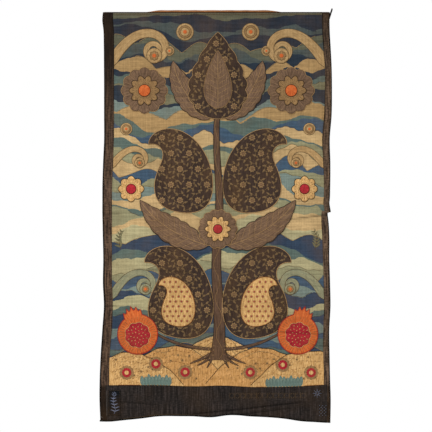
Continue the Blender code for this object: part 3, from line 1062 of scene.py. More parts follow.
@dataclass
class Sky(Part):
    """Long pieces one below another, their edges waving or billowing, from dark blues to creams and back."""

    # Columns: depth of the lower edge, wave height, wave length, phase, yarn; the short waves billow
    pieces: tuple[tuple[float, float, float, float, Dye], ...] = (
        (0.026, 0.018, 0.7, 0.3, Dye.DUSK),
        (0.085, 0.024, 0.62, 1.2, Dye.NIGHT),
        (0.125, 0.022, 0.9, 2.6, Dye.SLATE),
        (0.195, 0.026, 0.23, 0.0, Dye.NIGHT),
        (0.24, 0.026, 0.55, 4.0, Dye.DUSK),
        (0.285, 0.03, 0.64, 1.0, Dye.SLATE),
        (0.325, 0.026, 0.21, 5.2, Dye.NAVY), (0.365, 0.03, 0.58, 0.8, Dye.TAN),
        (0.41, 0.034, 0.76, 2.2, Dye.NAVY),
        (0.455, 0.026, 0.42, 4.4, Dye.SEA),
        (0.495, 0.032, 0.84, 3.1, Dye.MOSS),
        (0.55, 0.034, 0.56, 0.5, Dye.NAVY), (0.6, 0.028, 0.25, 1.9, Dye.MIST),
        (0.65, 0.03, 0.9, 3.9, Dye.TAN), (0.695, 0.032, 0.7, 5.5, Dye.SEA),
        (0.735, 0.026, 0.45, 0.2, Dye.BLUE), (0.79, 0.03, 0.8, 2.8, Dye.CREAM),
        (0.835, 0.028, 0.52, 4.7, Dye.SEA), (0.88, 0.03, 0.72, 1.4, Dye.SAGE),
        (0.945, 0.028, 0.22, 3.5, Dye.CREAM),
        (0.975, 0.032, 0.82, 5.0, Dye.BLUE), (1.03, 0.028, 0.7, 0.9, Dye.SAGE),
        (1.09, 0.026, 0.62, 2.1, Dye.MIST),
        (1.135, 0.03, 0.84, 4.2, Dye.CREAM), (1.16, 0.034, 0.58, 5.7, Dye.SEA),
        (1.22, 0.026, 0.76, 0.6, Dye.SAGE),
        (1.285, 0.028, 0.64, 3.3, Dye.CREAM),
        (1.345, 0.022, 0.24, 1.1, Dye.PALE),
        (1.435, 0.03, 0.86, 2.5, Dye.INDIGO),
        (1.475, 0.028, 0.52, 4.9, Dye.SEA), (1.53, 0.028, 0.7, 0.1, Dye.PALE),
        (1.575, 0.026, 0.23, 3.0, Dye.SAGE), (1.635, 0.03, 0.8, 1.7, Dye.BLUE),
        (1.675, 0.03, 0.6, 5.1, Dye.MIST),
        (1.72, 0.032, 0.74, 2.9, Dye.INDIGO),
        (1.775, 0.026, 0.44, 0.4, Dye.PALE), (1.82, 0.03, 0.66, 4.6, Dye.SEA),
        (1.885, 0.032, 0.82, 1.3, Dye.INDIGO),
        (1.93, 0.028, 0.56, 3.7, Dye.MIST),
        (1.985, 0.03, 0.72, 5.9, Dye.BLUE),
        (2.035, 0.026, 0.25, 2.0, Dye.SEA), (2.3, 0.01, 0.7, 0.0, Dye.INDIGO),
    )
    # Columns: height, wave length, phase, turns with depth: slow drifts shared by neighbouring pieces
    drifts: Rows = (
        (0.028, 1.3, 0.7, 2.3), (0.018, 0.61, 2.9, 4.1), (0.01, 0.27, 5.1, 9.0),
    )
    longest_billow: float = 0.3
    # Depth over which the drifts set in, and width of the blend from one piece to the next
    calm: float = 0.12
    blend: float = 0.017
    span: Pair = (-0.612, 0.632)
    steps: int = 250
    least_gap: float = 0.008
    corded_wave: int = 3
    billow_cord: float = 0.0017
    wave_cord: float = 0.0011

    def edges(self, x: Array) -> Array:
        """Lower edges of the pieces: waves, or billows that meet in cusps, each kept below the last.

        Args:
            x: Places across.
        Returns:
            Depths, a row for each piece.
        """
        depth, height, length, phase = (np.array([row[k] for row in self.pieces])[:, None] for k in range(4))
        turn = 2 * np.pi * x / length + phase
        wave = np.sin(turn + 0.7 * np.sin(turn)) + 0.3 * np.sin(2.7 * turn + phase) + 0.12 * np.sin(9.1 * turn)
        billow = 1 - 2 * np.abs(np.sin(turn / 2 + 0.35 * np.sin(0.31 * turn))) + 0.3 * np.sin(0.27 * turn)
        drift = sum(h * np.sin(2 * np.pi * x / w + p + t * depth) for h, w, p, t in self.drifts)
        form = height * np.where(length < self.longest_billow, billow, wave)
        return np.maximum.accumulate(depth + drift * ease(depth / self.calm) + form, axis=0)

    def share(self, x: Array, depth: Array) -> Array:
        """Number of edges passed at each place, each over its blend, as a share of the pieces."""
        passed = np.clip((depth - self.edges(x)[:-1]) / self.blend + 0.5, 0.0, 1.0)
        return passed.sum(axis=0) / len(self.pieces)

    def build(self) -> None:
        """Lays thin cords along the billows, and thinner ones along some waves, where pieces are wide."""
        pile = MeshPile("sky_cords")
        x = np.linspace(*self.span, self.steps)
        edges = self.edges(x)
        for k in range(1, len(self.pieces) - 1):
            billows = self.pieces[k][2] < self.longest_billow
            if not billows and k % self.corded_wave:
                continue
            apart = np.minimum(edges[k] - edges[k - 1], edges[k + 1] - edges[k]) > self.least_gap
            radius, finish = (self.billow_cord, 0) if billows else (self.wave_cord, 1)
            for run in runs(apart, 13):
                pile.cord(x[run], edges[k, run], LAYERS.ground + 0.0002, radius, finish=finish)
        self.work.lay(pile, ["sky_cord", "brown_cord"])


# The cloths that have solids


@dataclass
class PiecedField(Part):
    """Ground cloth: one length behind the borders and the foot band, with a rolled and stitched top."""

    field_cells: int = 88
    strip_cells: int = 8
    cut_width: float = 1.383
    cut_length: float = 2.47
    cut_area: float = 3.36
    # Columns: start and end across, depth, lift over the ground, radius, points
    hem: Rows = (
        (-0.6775, 0.6815, 0.0012, -0.0008, 0.0029, 170),
        (-0.677, -0.617, 0.0038, 0.0023, 0.0036, 20),
        (0.637, 0.681, 0.0038, 0.0023, 0.0036, 20),
    )
    seam: Pair = (-0.614, 0.632)
    seam_depth: float = 0.015
    seam_cord: float = 0.0013
    whip_pitch: float = 0.014
    whip_size: Pair = (0.009, 0.0009)

    def build(self) -> None:
        """Builds the ground as a closed cloth, and its top hem with two lines of stitching."""
        x, depth = DRAPE.lines(self.field_cells, self.strip_cells)
        pile = MeshPile("pieced_field")
        front = DRAPE.place(x, depth, LAYERS.ground)
        back = DRAPE.place(x, depth, LAYERS.ground - LAYERS.ground_thickness)
        pile.shell(front, back, stacked(x, depth), 1)
        self.work.hang(pile, ["ground", "backing"], "ground_cloth", "ground_cloth")
        set_values(self.work.cloths["pieced_field"].data, "sky", Sky(self.work).share)

        hem = MeshPile("top_hem")
        for start, end, level, lift, radius, points in self.hem:
            x = np.linspace(start, end, points)
            hem.cord(x, level, LAYERS.ground + lift, radius, 8)
        self.work.lay(hem, ["dark_cord"])
        stitches = MeshPile("hem_stitches")
        x = np.linspace(*self.seam, 300)
        waver = 0.0006 * np.sin(37 * x) + 0.0004 * np.sin(91 * x)
        stitches.cord(x, self.seam_depth + waver, LAYERS.ground + 0.0003, self.seam_cord)
        x = np.arange(self.seam[0] + 0.004, self.seam[1] - 0.004, self.whip_pitch)
        depth = self.seam_depth - 0.0055 + 0.0005 * np.sin(53 * x)
        stitches.stitches(x, depth, 0.25 + 0.1 * np.sin(71 * x), *self.whip_size, LAYERS.ground + 0.0002)
        self.work.lay(stitches, ["brown_cord"])


@dataclass
class SideBorders(Part):
    """Ribbed braid down both sides: the left in one length, the right in two that lap."""

    cells: int = 24
    rib: float = 0.0155
    rib_height: float = 0.0006
    edge_roll: float = 0.0009
    lap_depth: float = 1.206
    tuck: float = 0.016
    rise_length: float = 0.09
    swing: float = 0.019
    swing_length: float = 0.075
    slant: Pair = (0.008, -0.002)
    roll_reach: Pair = (0.004, 0.003)
    slub_height: float = 0.00025

    def strip(self, name: str, x: Array, depth: Array, lift: Array, outer_first: bool) -> MeshPile:
        """One length: a closed cloth whose face has ribs, |sine| of the distance in, and rolled edges.

        Args:
            name: The piece's name.
            x: Places across.
            depth: Depths.
            lift: Height of the strip where it is flat.
            outer_first: Whether the first column is the outer edge.
        Returns:
            The pile with its shell.
        """
        inward = np.abs(x - (x[:, :1] if outer_first else x[:, -1:]))
        width = np.abs(x[:, -1:] - x[:, :1])
        ribs = np.abs(np.sin(np.pi * inward / self.rib)) ** 0.7 * self.rib_height
        outer, inner = self.roll_reach
        roll = self.edge_roll * (np.exp(-inward / outer) + 0.6 * np.exp(-(width - inward) / inner))
        slub = self.slub_height * np.sin(x * 410 + 3 * np.sin(depth * 29)) * np.sin(depth * 173 + x * 61)
        pile = MeshPile(name)
        front = DRAPE.place(x, depth, lift + ribs + roll + slub)
        back = DRAPE.place(x, depth, lift - LAYERS.strip_thickness)
        pile.shell(front, back, stacked(inward, depth))
        return pile

    def build(self) -> None:
        """Builds the three lengths."""
        x, depth = DRAPE.lines(PiecedField.field_cells, self.cells)
        lift = np.full_like(x, LAYERS.border)
        left, right = slice(0, self.cells + 1), slice(-self.cells - 1, None)
        piece = self.strip("left_braid", x[:, left], depth[:, left], lift[:, left], True)
        self.work.hang(piece, ["left_braid"], "border_braid", "border_left")

        rows = np.flatnonzero(depth[:, -1] > self.lap_depth - self.tuck)
        piece = self.strip("right_lower_braid", x[rows, right], depth[rows, right], lift[rows, right], False)
        self.work.hang(piece, ["right_braid"], "border_braid", "border_right_lower")

        rows = np.flatnonzero(depth[:, -1] < self.lap_depth + 0.001)
        x, depth, lift = x[rows, right], depth[rows, right], lift[rows, right]
        lift = lift + LAYERS.lap * ease((depth - self.lap_depth + self.tuck) / self.rise_length + 1)
        x = x + self.swing * ease((depth - self.lap_depth) / self.swing_length + 1)
        depth = np.vstack([depth[:-1], depth[-1:] + np.linspace(*self.slant, self.cells + 1)])
        piece = self.strip("right_upper_braid", x, depth, lift, False)
        self.work.hang(piece, ["right_braid"], "border_braid", "border_right_upper")


@dataclass
class FootBand(Part):
    """Dark band across the foot: corded cloth over the borders' inner edges, with small stitched signs."""

    overlap_left: float = 0.022
    overlap_right: float = 0.018
    overlap_cells: int = 5
    settle: float = 0.07
    cord_pitch: float = 0.0165
    cord_height: float = 0.00045
    # Columns: start and end across, whether it runs along the lower edge, depth under its edge,
    # lift over the ground, radius, sides, finish, points
    edging: Rows = (
        (-0.6775, 0.668, 1, -0.0036, 0.0023, 0.0044, 8, 3, 200),
        (-0.6975, -0.652, 1, -0.004, 0.0021, 0.005, 8, 3, 20),
        (-0.632, 0.64, 0, 0.0012, 0.0021, 0.0013, 6, 0, 200),
        (-0.588, -0.456, 0, -0.0014, 0.001, 0.0016, 6, 1, 40),
        (0.24, 0.29, 0, -0.0014, 0.001, 0.0016, 6, 1, 40),
        (0.528, 0.64, 0, -0.0014, 0.001, 0.0016, 6, 1, 40),
        (-0.56, -0.12, 1, -0.009, 0.002, 0.0009, 5, 2, 90),
    )
    star: Pair = (0.606, 2.284)
    # Columns: distance of the star's stitches from its middle, length, radius
    star_rings: Rows = (
        (0.0125, 0.016, 0.0017), (0.0235, 0.006, 0.0013),
    )
    lattice: Pair = (0.62, 2.358)
    lattice_pitch: float = 0.0095
    lattice_cells: tuple[int, int] = (5, 7)
    knot_size: Pair = (0.0056, 0.0017)
    # Columns: across and up from the middle of a lozenge, turn, length, radius
    lozenge: Rows = (
        (-0.0065, 0.011, 0.9, 0.017, 0.0009),
        (0.0065, 0.011, -0.9, 0.017, 0.0009),
        (0.0065, -0.011, 0.9, 0.017, 0.0009),
        (-0.0065, -0.011, -0.9, 0.017, 0.0009),
        (-0.015, 0.0, np.pi / 2, 0.042, 0.0008),
        (0.015, 0.0, np.pi / 2, 0.042, 0.0008),
    )
    lozenges: tuple[float, float, float] = (0.095, 0.53, 0.033)
    lozenge_depth: float = 2.298
    seam: Pair = (2.268, 2.42)
    seam_place: float = -0.6535
    # Columns: place across and depth of a loose thread, turn
    loose: Rows = (
        (-0.685, 2.427, 0.3), (-0.679, 2.431, -0.5), (0.29, 2.37, 1.2),
    )

    def surface(self) -> Arrays:
        """The band's grid: the field's lines below the upper edge, carried on past both sides.

        Returns:
            Places across, depths and lifts.
        """
        cells = PiecedField.strip_cells
        x = DRAPE.lines(PiecedField.field_cells * 2, cells)[0]
        inner_x = x[-FOOT_ROWS - 1 :, cells:-cells]
        left = inner_x[:, :1] - np.linspace(self.overlap_left, 0.0, self.overlap_cells + 1)[:-1]
        right = inner_x[:, -1:] + np.linspace(0.0, self.overlap_right, self.overlap_cells + 1)[1:]
        band_x = np.hstack([left, inner_x, right])
        share = shares(FOOT_ROWS + 1)[:, None]
        top, foot = DRAPE.upper_edge(band_x), DRAPE.lower_edge(band_x)
        inward = np.minimum(band_x - inner_x[:, :1], inner_x[:, -1:] - band_x)
        raised = LAYERS.band_rise * ease(1 - inward / self.settle)
        return band_x, top + (foot - top) * share, LAYERS.band + raised

    def build(self) -> None:
        """Builds the band, its edges and its stitched signs."""
        x, depth, lift = self.surface()
        cords = self.cord_height * (0.5 + 0.5 * np.cos(2 * np.pi * x / self.cord_pitch))
        share = shares(x.shape[0])[:, None]
        inside = ease(share / 0.12) * ease((1 - share) / 0.1)
        pile = MeshPile("foot_band")
        front = DRAPE.place(x, depth, lift + cords * inside)
        back = DRAPE.place(x, depth, lift - LAYERS.strip_thickness)
        pile.shell(front, back, stacked(x + 1.0, depth))
        self.work.hang(pile, ["band"], "band_cloth", "bottom_band")

        edging = MeshPile("band_edging")
        for start, end, lower, drop, lift, radius, sides, finish, points in self.edging:
            x = np.linspace(start, end, points)
            depth = (DRAPE.lower_edge(x) if lower else DRAPE.upper_edge(x)) + drop
            edging.cord(x, depth, LAYERS.ground + lift, radius, sides, finish)
        self.work.lay(edging, ["dark_cord", "rust_cord", "brown_cord", "hem_wool"], "band_cloth")
        self.signs()

    def signs(self) -> None:
        """Small stitched signs: a star, a lattice of knots and a faint running border of lozenges."""
        pile = MeshPile("band_signs")
        lift = LAYERS.band + LAYERS.band_rise + 0.0004
        turns = np.arange(8) * np.pi / 4
        for reach, length, radius in self.star_rings:
            x, depth = self.star[0] + reach * np.cos(turns), self.star[1] - reach * np.sin(turns)
            pile.stitches(x, depth, turns, length, radius, lift)
        column, row = np.meshgrid(*(np.arange(cells) for cells in self.lattice_cells))
        keep = (column + row) % 2 == 0
        x, depth = (start + self.lattice_pitch * n[keep] for start, n in zip(self.lattice, (column, row)))
        pile.stitches(x, depth, 0.6, *self.knot_size, lift)
        for across, up, turn, length, radius in self.lozenge:
            x = np.arange(*self.lozenges) + across
            pile.stitches(x, self.lozenge_depth - up, turn, length, radius, LAYERS.band + 0.0007, 1)
        depth = np.linspace(*self.seam, 60)
        x = self.seam_place + 0.0005 * np.sin(90 * depth)
        pile.cord(x, depth, lift - 0.0002, 0.0008, 4, 2)
        for row in self.loose:
            pile.stitches(*row, 0.008, 0.0012, lift, 2)
        self.work.lay(pile, ["pale_silk", "brown_cord", "grey_cord"], "band_cloth")


@dataclass
class CornerPatch(Part):
    """Small upright navy patch with turned edges and a stitched sprig."""

    left: float = -0.646
    right: float = -0.572
    top: float = 2.264
    bottom: float = 2.416
    puff: float = 0.0007
    cells: int = 20
    sprig: Pair = (-0.609, 2.406)
    stem_length: float = 0.108
    stem_sway: float = 0.006
    leaf_shares: tuple[float, ...] = (0.12, 0.3, 0.48, 0.66, 0.82)
    rosette_depth: float = 2.289
    rosette_reach: float = 0.0095
    edge_stitches: Pair = (0.0335, 0.0725)

    def build(self) -> None:
        """Builds the patch and its sprig: a bent stem with paired leaves and a rosette."""
        across, down = np.linspace(-1, 1, self.cells + 1), np.linspace(-1, 1, 2 * self.cells + 1)
        u, v = np.meshgrid(across, down)
        middle_x, middle_depth = (self.left + self.right) / 2, (self.top + self.bottom) / 2
        frayed = 0.0006 * np.sin(23 * v) * np.abs(u) ** 8
        x = middle_x + (self.right - self.left) / 2 * u + frayed
        depth = middle_depth + (self.bottom - self.top) / 2 * v
        swell = self.puff * (1 - u**6) * (1 - v**8)
        pile = MeshPile("corner_patch_cloth")
        front = DRAPE.place(x, depth, LAYERS.patch - 0.0002 + swell)
        pile.shell(front, front - 0.001 * TOWARDS_VIEWER, stacked(x, depth))
        self.work.hang(pile, ["patch"], "patch_cloth", "corner_patch")

        sprig = MeshPile("patch_sprig")
        t = shares(60)
        lift = LAYERS.patch + self.puff + 0.0004
        stem, foot = self.sprig[0] + self.stem_sway * np.sin(2 * np.pi * t), self.sprig[1]
        sprig.cord(stem, foot - self.stem_length * t, lift, 0.0014)
        for k, share in enumerate(self.leaf_shares):
            root = (float(np.interp(share, t, stem)), foot - self.stem_length * share)
            for side in (1, -1):
                leaf = LeafCut(root, 90 - side * 56, 0.031 - 0.003 * k, 0.003, -side * 40, rows=10, columns=4)
                sprig.copies(leaf, lift - 0.0007, 0.001)
        turns = np.arange(8) * np.pi / 4
        x, depth = self.rosette_reach * np.cos(turns), self.rosette_reach * np.sin(turns)
        sprig.stitches(stem[-1] + x, self.rosette_depth - depth, turns, 0.012, 0.0018, lift)
        corners = np.array([[-1, -1], [1, -1], [1, 1], [-1, 1], [-1, -1]]).T
        x, depth = (
            middle + half * np.interp(np.linspace(0, 4, 161), np.arange(5), corner)
            for middle, half, corner in zip((middle_x, middle_depth), self.edge_stitches, corners)
        )
        sprig.stitches(*along_path(x, depth, 0.0062), 0.0042, 0.0007, lift - 0.0008, 1)
        self.work.lay(sprig, ["pale_silk", "brown_cord"], "patch_cloth")


@dataclass
class HeadingTape(Part):
    """Orange-brown tape behind the top edge, its upper edge an arch with soft shoulders."""

    left: float = -0.474
    right: float = 0.45
    rise: float = 0.013
    drop: float = 0.048
    end_sink: float = 0.004
    shoulder: float = 0.15
    columns: int = 110
    rows: int = 10

    def build(self) -> None:
        """Builds the tape: a closed strip whose face ripples by fractions of a millimetre."""
        across = np.linspace(self.left, self.right, self.columns + 1)
        rise = np.minimum(across - self.left, self.right - across) / self.shoulder
        upper = -(self.rise + self.end_sink) * (1 - ease(rise)) - 0.0004 * (1 + np.sin(61 * across))
        share = shares(self.rows + 1)[:, None]
        z = upper - (self.rise + self.drop + upper) * share
        x = np.broadcast_to(across, z.shape)
        ripple = 0.00025 * (1 + np.sin(83 * x + 5 * z)) * np.sin(np.pi * share)
        pile = MeshPile("heading_band")
        front, back = stacked(x, ripple - LAYERS.tape, z), stacked(x, 0.0, z)
        pile.shell(front, back, stacked(x, z))
        self.work.hang(pile, ["tape"], "heading_tape", "heading_tape")


@dataclass
class CornerTie(Part):
    """Thin folded end of cloth that stands up behind the top right corner."""

    # Columns: share of its length, place across, height, half width
    rows: Rows = (
        (0.0, 0.674, -0.062, 0.005), (0.2, 0.6835, -0.034, 0.005), (0.4, 0.6895, -0.014, 0.0049),
        (0.6, 0.694, -0.002, 0.0047), (0.8, 0.6955, 0.005, 0.0044), (1.0, 0.6945, 0.01, 0.0038),
    )
    thickness: float = 0.0014
    steps: int = 60
    sides: int = 14

    def build(self) -> None:
        """Builds the tie: a flat oval carried along its path, with a fold down its middle."""
        share = shares(self.steps)
        x, z, half = (through(self.rows, column, share) for column in (1, 2, 3))
        dx, dz = np.gradient(x), np.gradient(z)
        side = (stacked(-dz, 0.0, dx) / np.hypot(dx, dz)[:, None])[:, None]
        half = half * np.sqrt(np.clip(np.minimum(share, 1 - share) / 0.03, 0.0, 1.0))
        turn = np.linspace(0.0, 2 * np.pi, self.sides + 1)
        centre = stacked(x, -self.thickness / 2, z)
        flat = np.sign(np.cos(turn)) * np.abs(np.cos(turn)) ** 0.8
        deep = np.sin(turn) * (0.62 + 0.38 * np.abs(np.cos(turn)) ** 2)
        taper = np.clip(half / half.max(), 0.0, 1.0)[:, None] ** 0.5
        out = side * flat[None, :, None] * half[:, None, None]
        out = out + TOWARDS_VIEWER * (deep * taper)[..., None] * self.thickness / 2
        uv = stacked(turn * 0.003, share[:, None] * 0.08)
        pile = MeshPile("folded_tie")
        pile.add(centre[:, None] + out, uv, out)
        self.work.hang(pile, ["tie"], "tie_cloth", "corner_tie")


# Applied work on the field


@dataclass
class Mound(Part):
    """Cream ground at the foot: five low hills with contour stitching, small florets and teal tufts."""

    # Columns: middle across, height, roundness
    hills: Rows = (
        (0.011, 0.3, 0.215), (-0.25, 0.24, 0.25), (-0.52, 0.196, 0.28), (0.275, 0.236, 0.25),
        (0.545, 0.212, 0.28),
    )
    left: float = -0.64
    right: float = 0.646
    lift: float = 0.0003
    columns: int = 180
    rows: int = 24
    edge_ends: Pair = (-0.63, 0.64)
    inset: float = 0.004
    edge_cord: float = 0.0016
    # Depths under the crest of the lines of contour stitches
    contours: tuple[float, ...] = (0.026, 0.058, 0.096, 0.138)
    contour_span: Pair = (-0.622, 0.632)
    contour_points: int = 500
    contour_margin: float = 0.012
    contour_pitch: float = 0.0235
    contour_size: Pair = (0.016, 0.0012)
    # Left end, width, least depth under the crest, and that with the least height over the band
    seed_spread: tuple[float, float, float, float] = (-0.618, 1.246, 0.012, 0.026)
    floret_spread: tuple[float, float, float, float] = (-0.6, 1.22, 0.03, 0.058)
    seeds: int = 420
    seed_size: Pair = (0.017, 0.0011)
    floret_count: int = 34
    # Florets need this height of mound, and keep this far from the stem
    floret_room: float = 0.09
    floret_clear: float = 0.095
    floret: RoundCut = RoundCut(radius=0.0085, petals=6, scallop=0.45, rings=2, steps=24)
    knot: RoundCut = RoundCut(radius=0.0028, rings=2, steps=10)
    roundel: RoundCut = RoundCut(radius=0.044, petals=12, scallop=0.1, rings=5, steps=72)
    # Columns: place across, height over the band
    roundels: Rows = (
        (-0.535, 0.075), (-0.36, 0.128), (-0.185, 0.084), (0.205, 0.088), (0.4, 0.132), (0.57, 0.078),
    )
    # Columns: share of a roundel's radius, height over the mound, finish
    layers: Rows = (
        (1.0, 0.0004, 2), (0.66, 0.001, 3), (0.3, 0.0016, 4),
    )
    # Columns: middle across of a clump of tufts, how many
    clumps: Rows = (
        (-0.36, 9), (0.408, 11),
    )
    tuft_pitch: float = 0.0185
    tuft_length: float = 0.062
    tuft_half_width: float = 0.015
    # Degrees by which the tufts lean and bend, from one end of a clump to the other
    tuft_fan: Pair = (34, 20)

    def top(self, x: Array, hill: int) -> Array:
        """Upper edge of one hill: a parabola with a slight waver.

        Args:
            x: Places across.
            hill: Its row.
        Returns:
            Depths.
        """
        middle, height, roundness = self.hills[hill]
        waver = 0.004 * np.sin(23 * x + 2.0 * hill) + 0.0025 * np.sin(61 * x + hill)
        return DRAPE.upper_edge(x) - height + (x - middle) ** 2 / (2 * roundness) + waver

    def crest(self, x: Array) -> Array:
        """Depth of the mound's upper edge: the highest of the hills."""
        return np.min([self.top(x, hill) for hill in range(len(self.hills))], axis=0)

    def sown(
        self, count: int, start: float, width: float, margin: float, margins: float
    ) -> Arrays:
        """Places spread evenly over the mound, across and down by steps of two irrational shares.

        Args:
            count: How many.
            start: Left end of the stretch.
            width: Its width.
            margin: Least depth under the crest.
            margins: That, and the least height over the band.
        Returns:
            Places across, depths, and the mound's height there.
        """
        k = np.arange(count)
        x = start + width * ((k * 0.6180339) % 1.0)
        crest = self.crest(x)
        room = DRAPE.upper_edge(x) - crest
        return x, crest + margin + (room - margins) * ((k * 0.7548777) % 1.0), room

    def build(self) -> None:
        """Builds the mound, its stitching and its tufts."""
        across = np.linspace(self.left, self.right, self.columns + 1)
        share = shares(self.rows + 1)[:, None]
        pile, cords = MeshPile("mound_cloth"), MeshPile("mound_cords")
        for k in range(len(self.hills)):
            top, foot = self.top(across, k), DRAPE.upper_edge(across) + 0.001
            under = top < foot - 0.002
            depth = (top + (foot - top) * share)[:, under]
            inner = through(DRAPE.sides, 2, depth) - 0.002, through(DRAPE.sides, 3, depth) + 0.002
            x = np.clip(np.broadcast_to(across[under], depth.shape), *inner)
            rise = self.lift * (1 + k)
            height = LAYERS.ground + rise * ease(share * 12) - LAYERS.tuck * (share < 0.01)
            pile.add(DRAPE.place(x, depth, height), stacked(x, depth), finish=k % 2)
            left, right = self.edge_ends
            edge = np.linspace(max(x.min() + self.inset, left), min(x.max() - self.inset, right), 160)
            line = self.top(edge, k)
            bare = np.full(len(edge), True)
            for later in range(k + 1, len(self.hills)):
                bare &= line < self.top(edge, later)
            for run in runs(bare, 4):
                cords.cord(edge[run], line[run] + 0.0006, LAYERS.ground + rise + 0.0002, self.edge_cord)
        self.work.lay(pile, ["cream_wool", "apricot_wool"])

        face = LAYERS.ground + len(self.hills) * self.lift
        line = np.linspace(*self.contour_span, self.contour_points)
        for k, gap in enumerate(self.contours):
            down = self.crest(line) + gap + 0.004 * np.sin(19 * line + 2 * k)
            places = np.array(along_path(line, down, self.contour_pitch, 0.3 + 0.4 * (k % 2)))
            keep = places[1] < DRAPE.upper_edge(places[0]) - self.contour_margin
            cords.stitches(*places[:, keep], *self.contour_size, face + 0.0003, 1 + k % 2)
        x, depth, _ = self.sown(self.seeds, *self.seed_spread)
        k = np.arange(self.seeds)
        turn = 0.9 + 0.5 * np.sin(9 * x + 3) + 0.3 * np.sin(k)
        for part in range(3):
            some = k % 3 == part
            cords.stitches(x[some], depth[some], turn[some], *self.seed_size, face + 0.0002, 1 + part)
        self.work.lay(cords, ["dark_cord", "rust_cord", "tan_cord", "cream_wool"])
        self.florets(face)
        self.tufts(face)

    def florets(self, face: float) -> None:
        """Small dotted florets and ringed roundels over the mound.

        Args:
            face: Height of the mound's face.
        """
        pile = MeshPile("mound_florets")
        x, depth, room = self.sown(self.floret_count, *self.floret_spread)
        keep = (room > self.floret_room) & (np.abs(x - AXIS) > self.floret_clear)
        x, depth = x[keep], depth[keep]
        pile.copies(self.floret, face + 0.0002, 0.0008, 0, x, depth, 1.3 * np.flatnonzero(keep))
        pile.copies(self.knot, face + 0.0009, 0.0009, 1, x, depth)
        x, height = np.array(self.roundels).T
        for size, lift, finish in self.layers:
            pile.copies(self.roundel, face + lift, 0.0006, finish, x, DRAPE.upper_edge(x) - height, size=size)
        self.work.lay(pile, ["gold_silk", "dark_cord", "gold_silk", "crimson_silk", "cream_wool"])

    def tufts(self, face: float) -> None:
        """Scalloped tufts in two clumps that fan out over the band.

        Args:
            face: Height of the mound's face.
        """
        pile = MeshPile("teal_tufts")
        for middle, count in self.clumps:
            for n in range(count):
                off = n - (count - 1) / 2
                fan = off / count
                x = middle + self.tuft_pitch * off
                length = self.tuft_length - 0.03 * fan**2 + 0.008 * np.sin(2.4 * n + middle * 9)
                root = (x, float(DRAPE.upper_edge(np.array(x))) + 0.0004)
                lean, bend = (degrees * fan for degrees in self.tuft_fan)
                tuft = LeafCut(
                    root, 90 - lean, length, self.tuft_half_width, bend, 1.0, 0.75, 0.55, rows=14, columns=6
                )
                pile.copies(tuft, face + 0.0002 + 0.0002 * (n % 2), 0.0012)
        self.work.lay(pile, ["teal_wool"])


@dataclass
class Trunk(Part):
    """Brown stem up the middle, flared over the mound, with a spiral of couched cord."""

    foot: float = 2.085
    top: float = 0.56
    half_width: float = 0.015
    growth: float = 0.02
    flare: float = 0.03
    lift: float = 0.0014
    rows: int = 150
    # Shares across, the outermost twice for its turned-under edges
    columns: tuple[float, ...] = (-1, -1, -0.8, -0.4, 0.0, 0.4, 0.8, 1, 1)
    root_spread: float = 0.03
    root_depth: float = 2.045
    root_half_width: float = 0.013
    root_bend_power: float = 1.4
    spiral: float = 46.0
    # Columns: heading away from straight down, length, bend; one to each side
    roots: Rows = (
        (62, 0.15, 10), (38, 0.12, 34), (14, 0.095, 20),
    )

    def line(self, share: Array) -> Arrays:
        """The stem's line: a slow sway, wider below and flared at the foot.

        Args:
            share: Shares up the stem.
        Returns:
            Its middle across, its depth and its half width.
        """
        depth = self.foot - (self.foot - self.top) * share
        half = self.half_width + self.growth * (1 - share) + self.flare * np.exp(-share / 0.035)
        return AXIS + 0.009 * np.sin(4 * np.pi * share), depth, half

    def build(self) -> None:
        """Builds the stem and its roots, with their edge cords, and a waving cord up it."""
        lift = LAYERS.ground + self.lift
        share = shares(self.rows + 1)
        middle, depth, half = (part[:, None] for part in self.line(share))
        across = np.array(self.columns)[None, :]
        height = np.broadcast_to(lift + 0.0014 * (1 - across**4), (self.rows + 1, across.size)).copy()
        height[:, (0, -1)] = LAYERS.ground - LAYERS.tuck
        uv = stacked(depth, half * across)
        pile, cords = MeshPile("tree_stem"), MeshPile("tree_stem_cords")
        pile.add(DRAPE.place(middle + half * across, depth, height), uv)
        for side in (-1, 1):
            for n, (tilt, length, bend) in enumerate(self.roots):
                root = LeafCut(
                    (AXIS + side * self.root_spread, self.root_depth), -90 + side * tilt, length,
                    self.root_half_width, side * bend, self.root_bend_power, rows=40, columns=8, taper=0.85,
                )
                pile.cut(root, lift - 0.0003 - 0.0001 * n, 0.0012)
                cords.cord(*root.edge(), lift - 0.0001, 0.0013)
        self.work.lay(pile, ["stem_wool"])
        middle, depth, half = self.line(share)
        for side in (-1, 1):
            cords.cord(middle + side * half, depth, lift + 0.0003, 0.0019)
        cords.cord(middle + 0.55 * half * np.sin(self.spiral * share), depth, lift + 0.0018, 0.0012, finish=1)
        self.work.lay(cords, ["dark_cord", "gold_silk"])


def within(cut: LeafCut, x: Array, depth: Array, margin: float) -> Array:
    """Whether each place lies inside a leaf's outline, and clear of it by a margin.

    A ray from the place crosses the outline an odd number of times if the place is inside.

    Args:
        cut: The leaf.
        x: Places across.
        depth: Depths.
        margin: Least distance from the outline.
    Returns:
        Whether each place is inside.
    """
    edge_x, edge_depth = cut.edge()
    x, depth = x[..., None], depth[..., None]
    above = edge_depth > depth
    crossed = above[..., 1:] != above[..., :-1]
    rise = np.diff(edge_depth)
    rise = np.where(np.abs(rise) < 1e-9, 1e-9, rise)
    hit = edge_x[:-1] + (depth - edge_depth[:-1]) * np.diff(edge_x) / rise
    inside = (crossed & (x < hit)).sum(axis=-1) % 2 == 1
    return inside & (np.hypot(x - edge_x, depth - edge_depth).min(axis=-1) > margin)


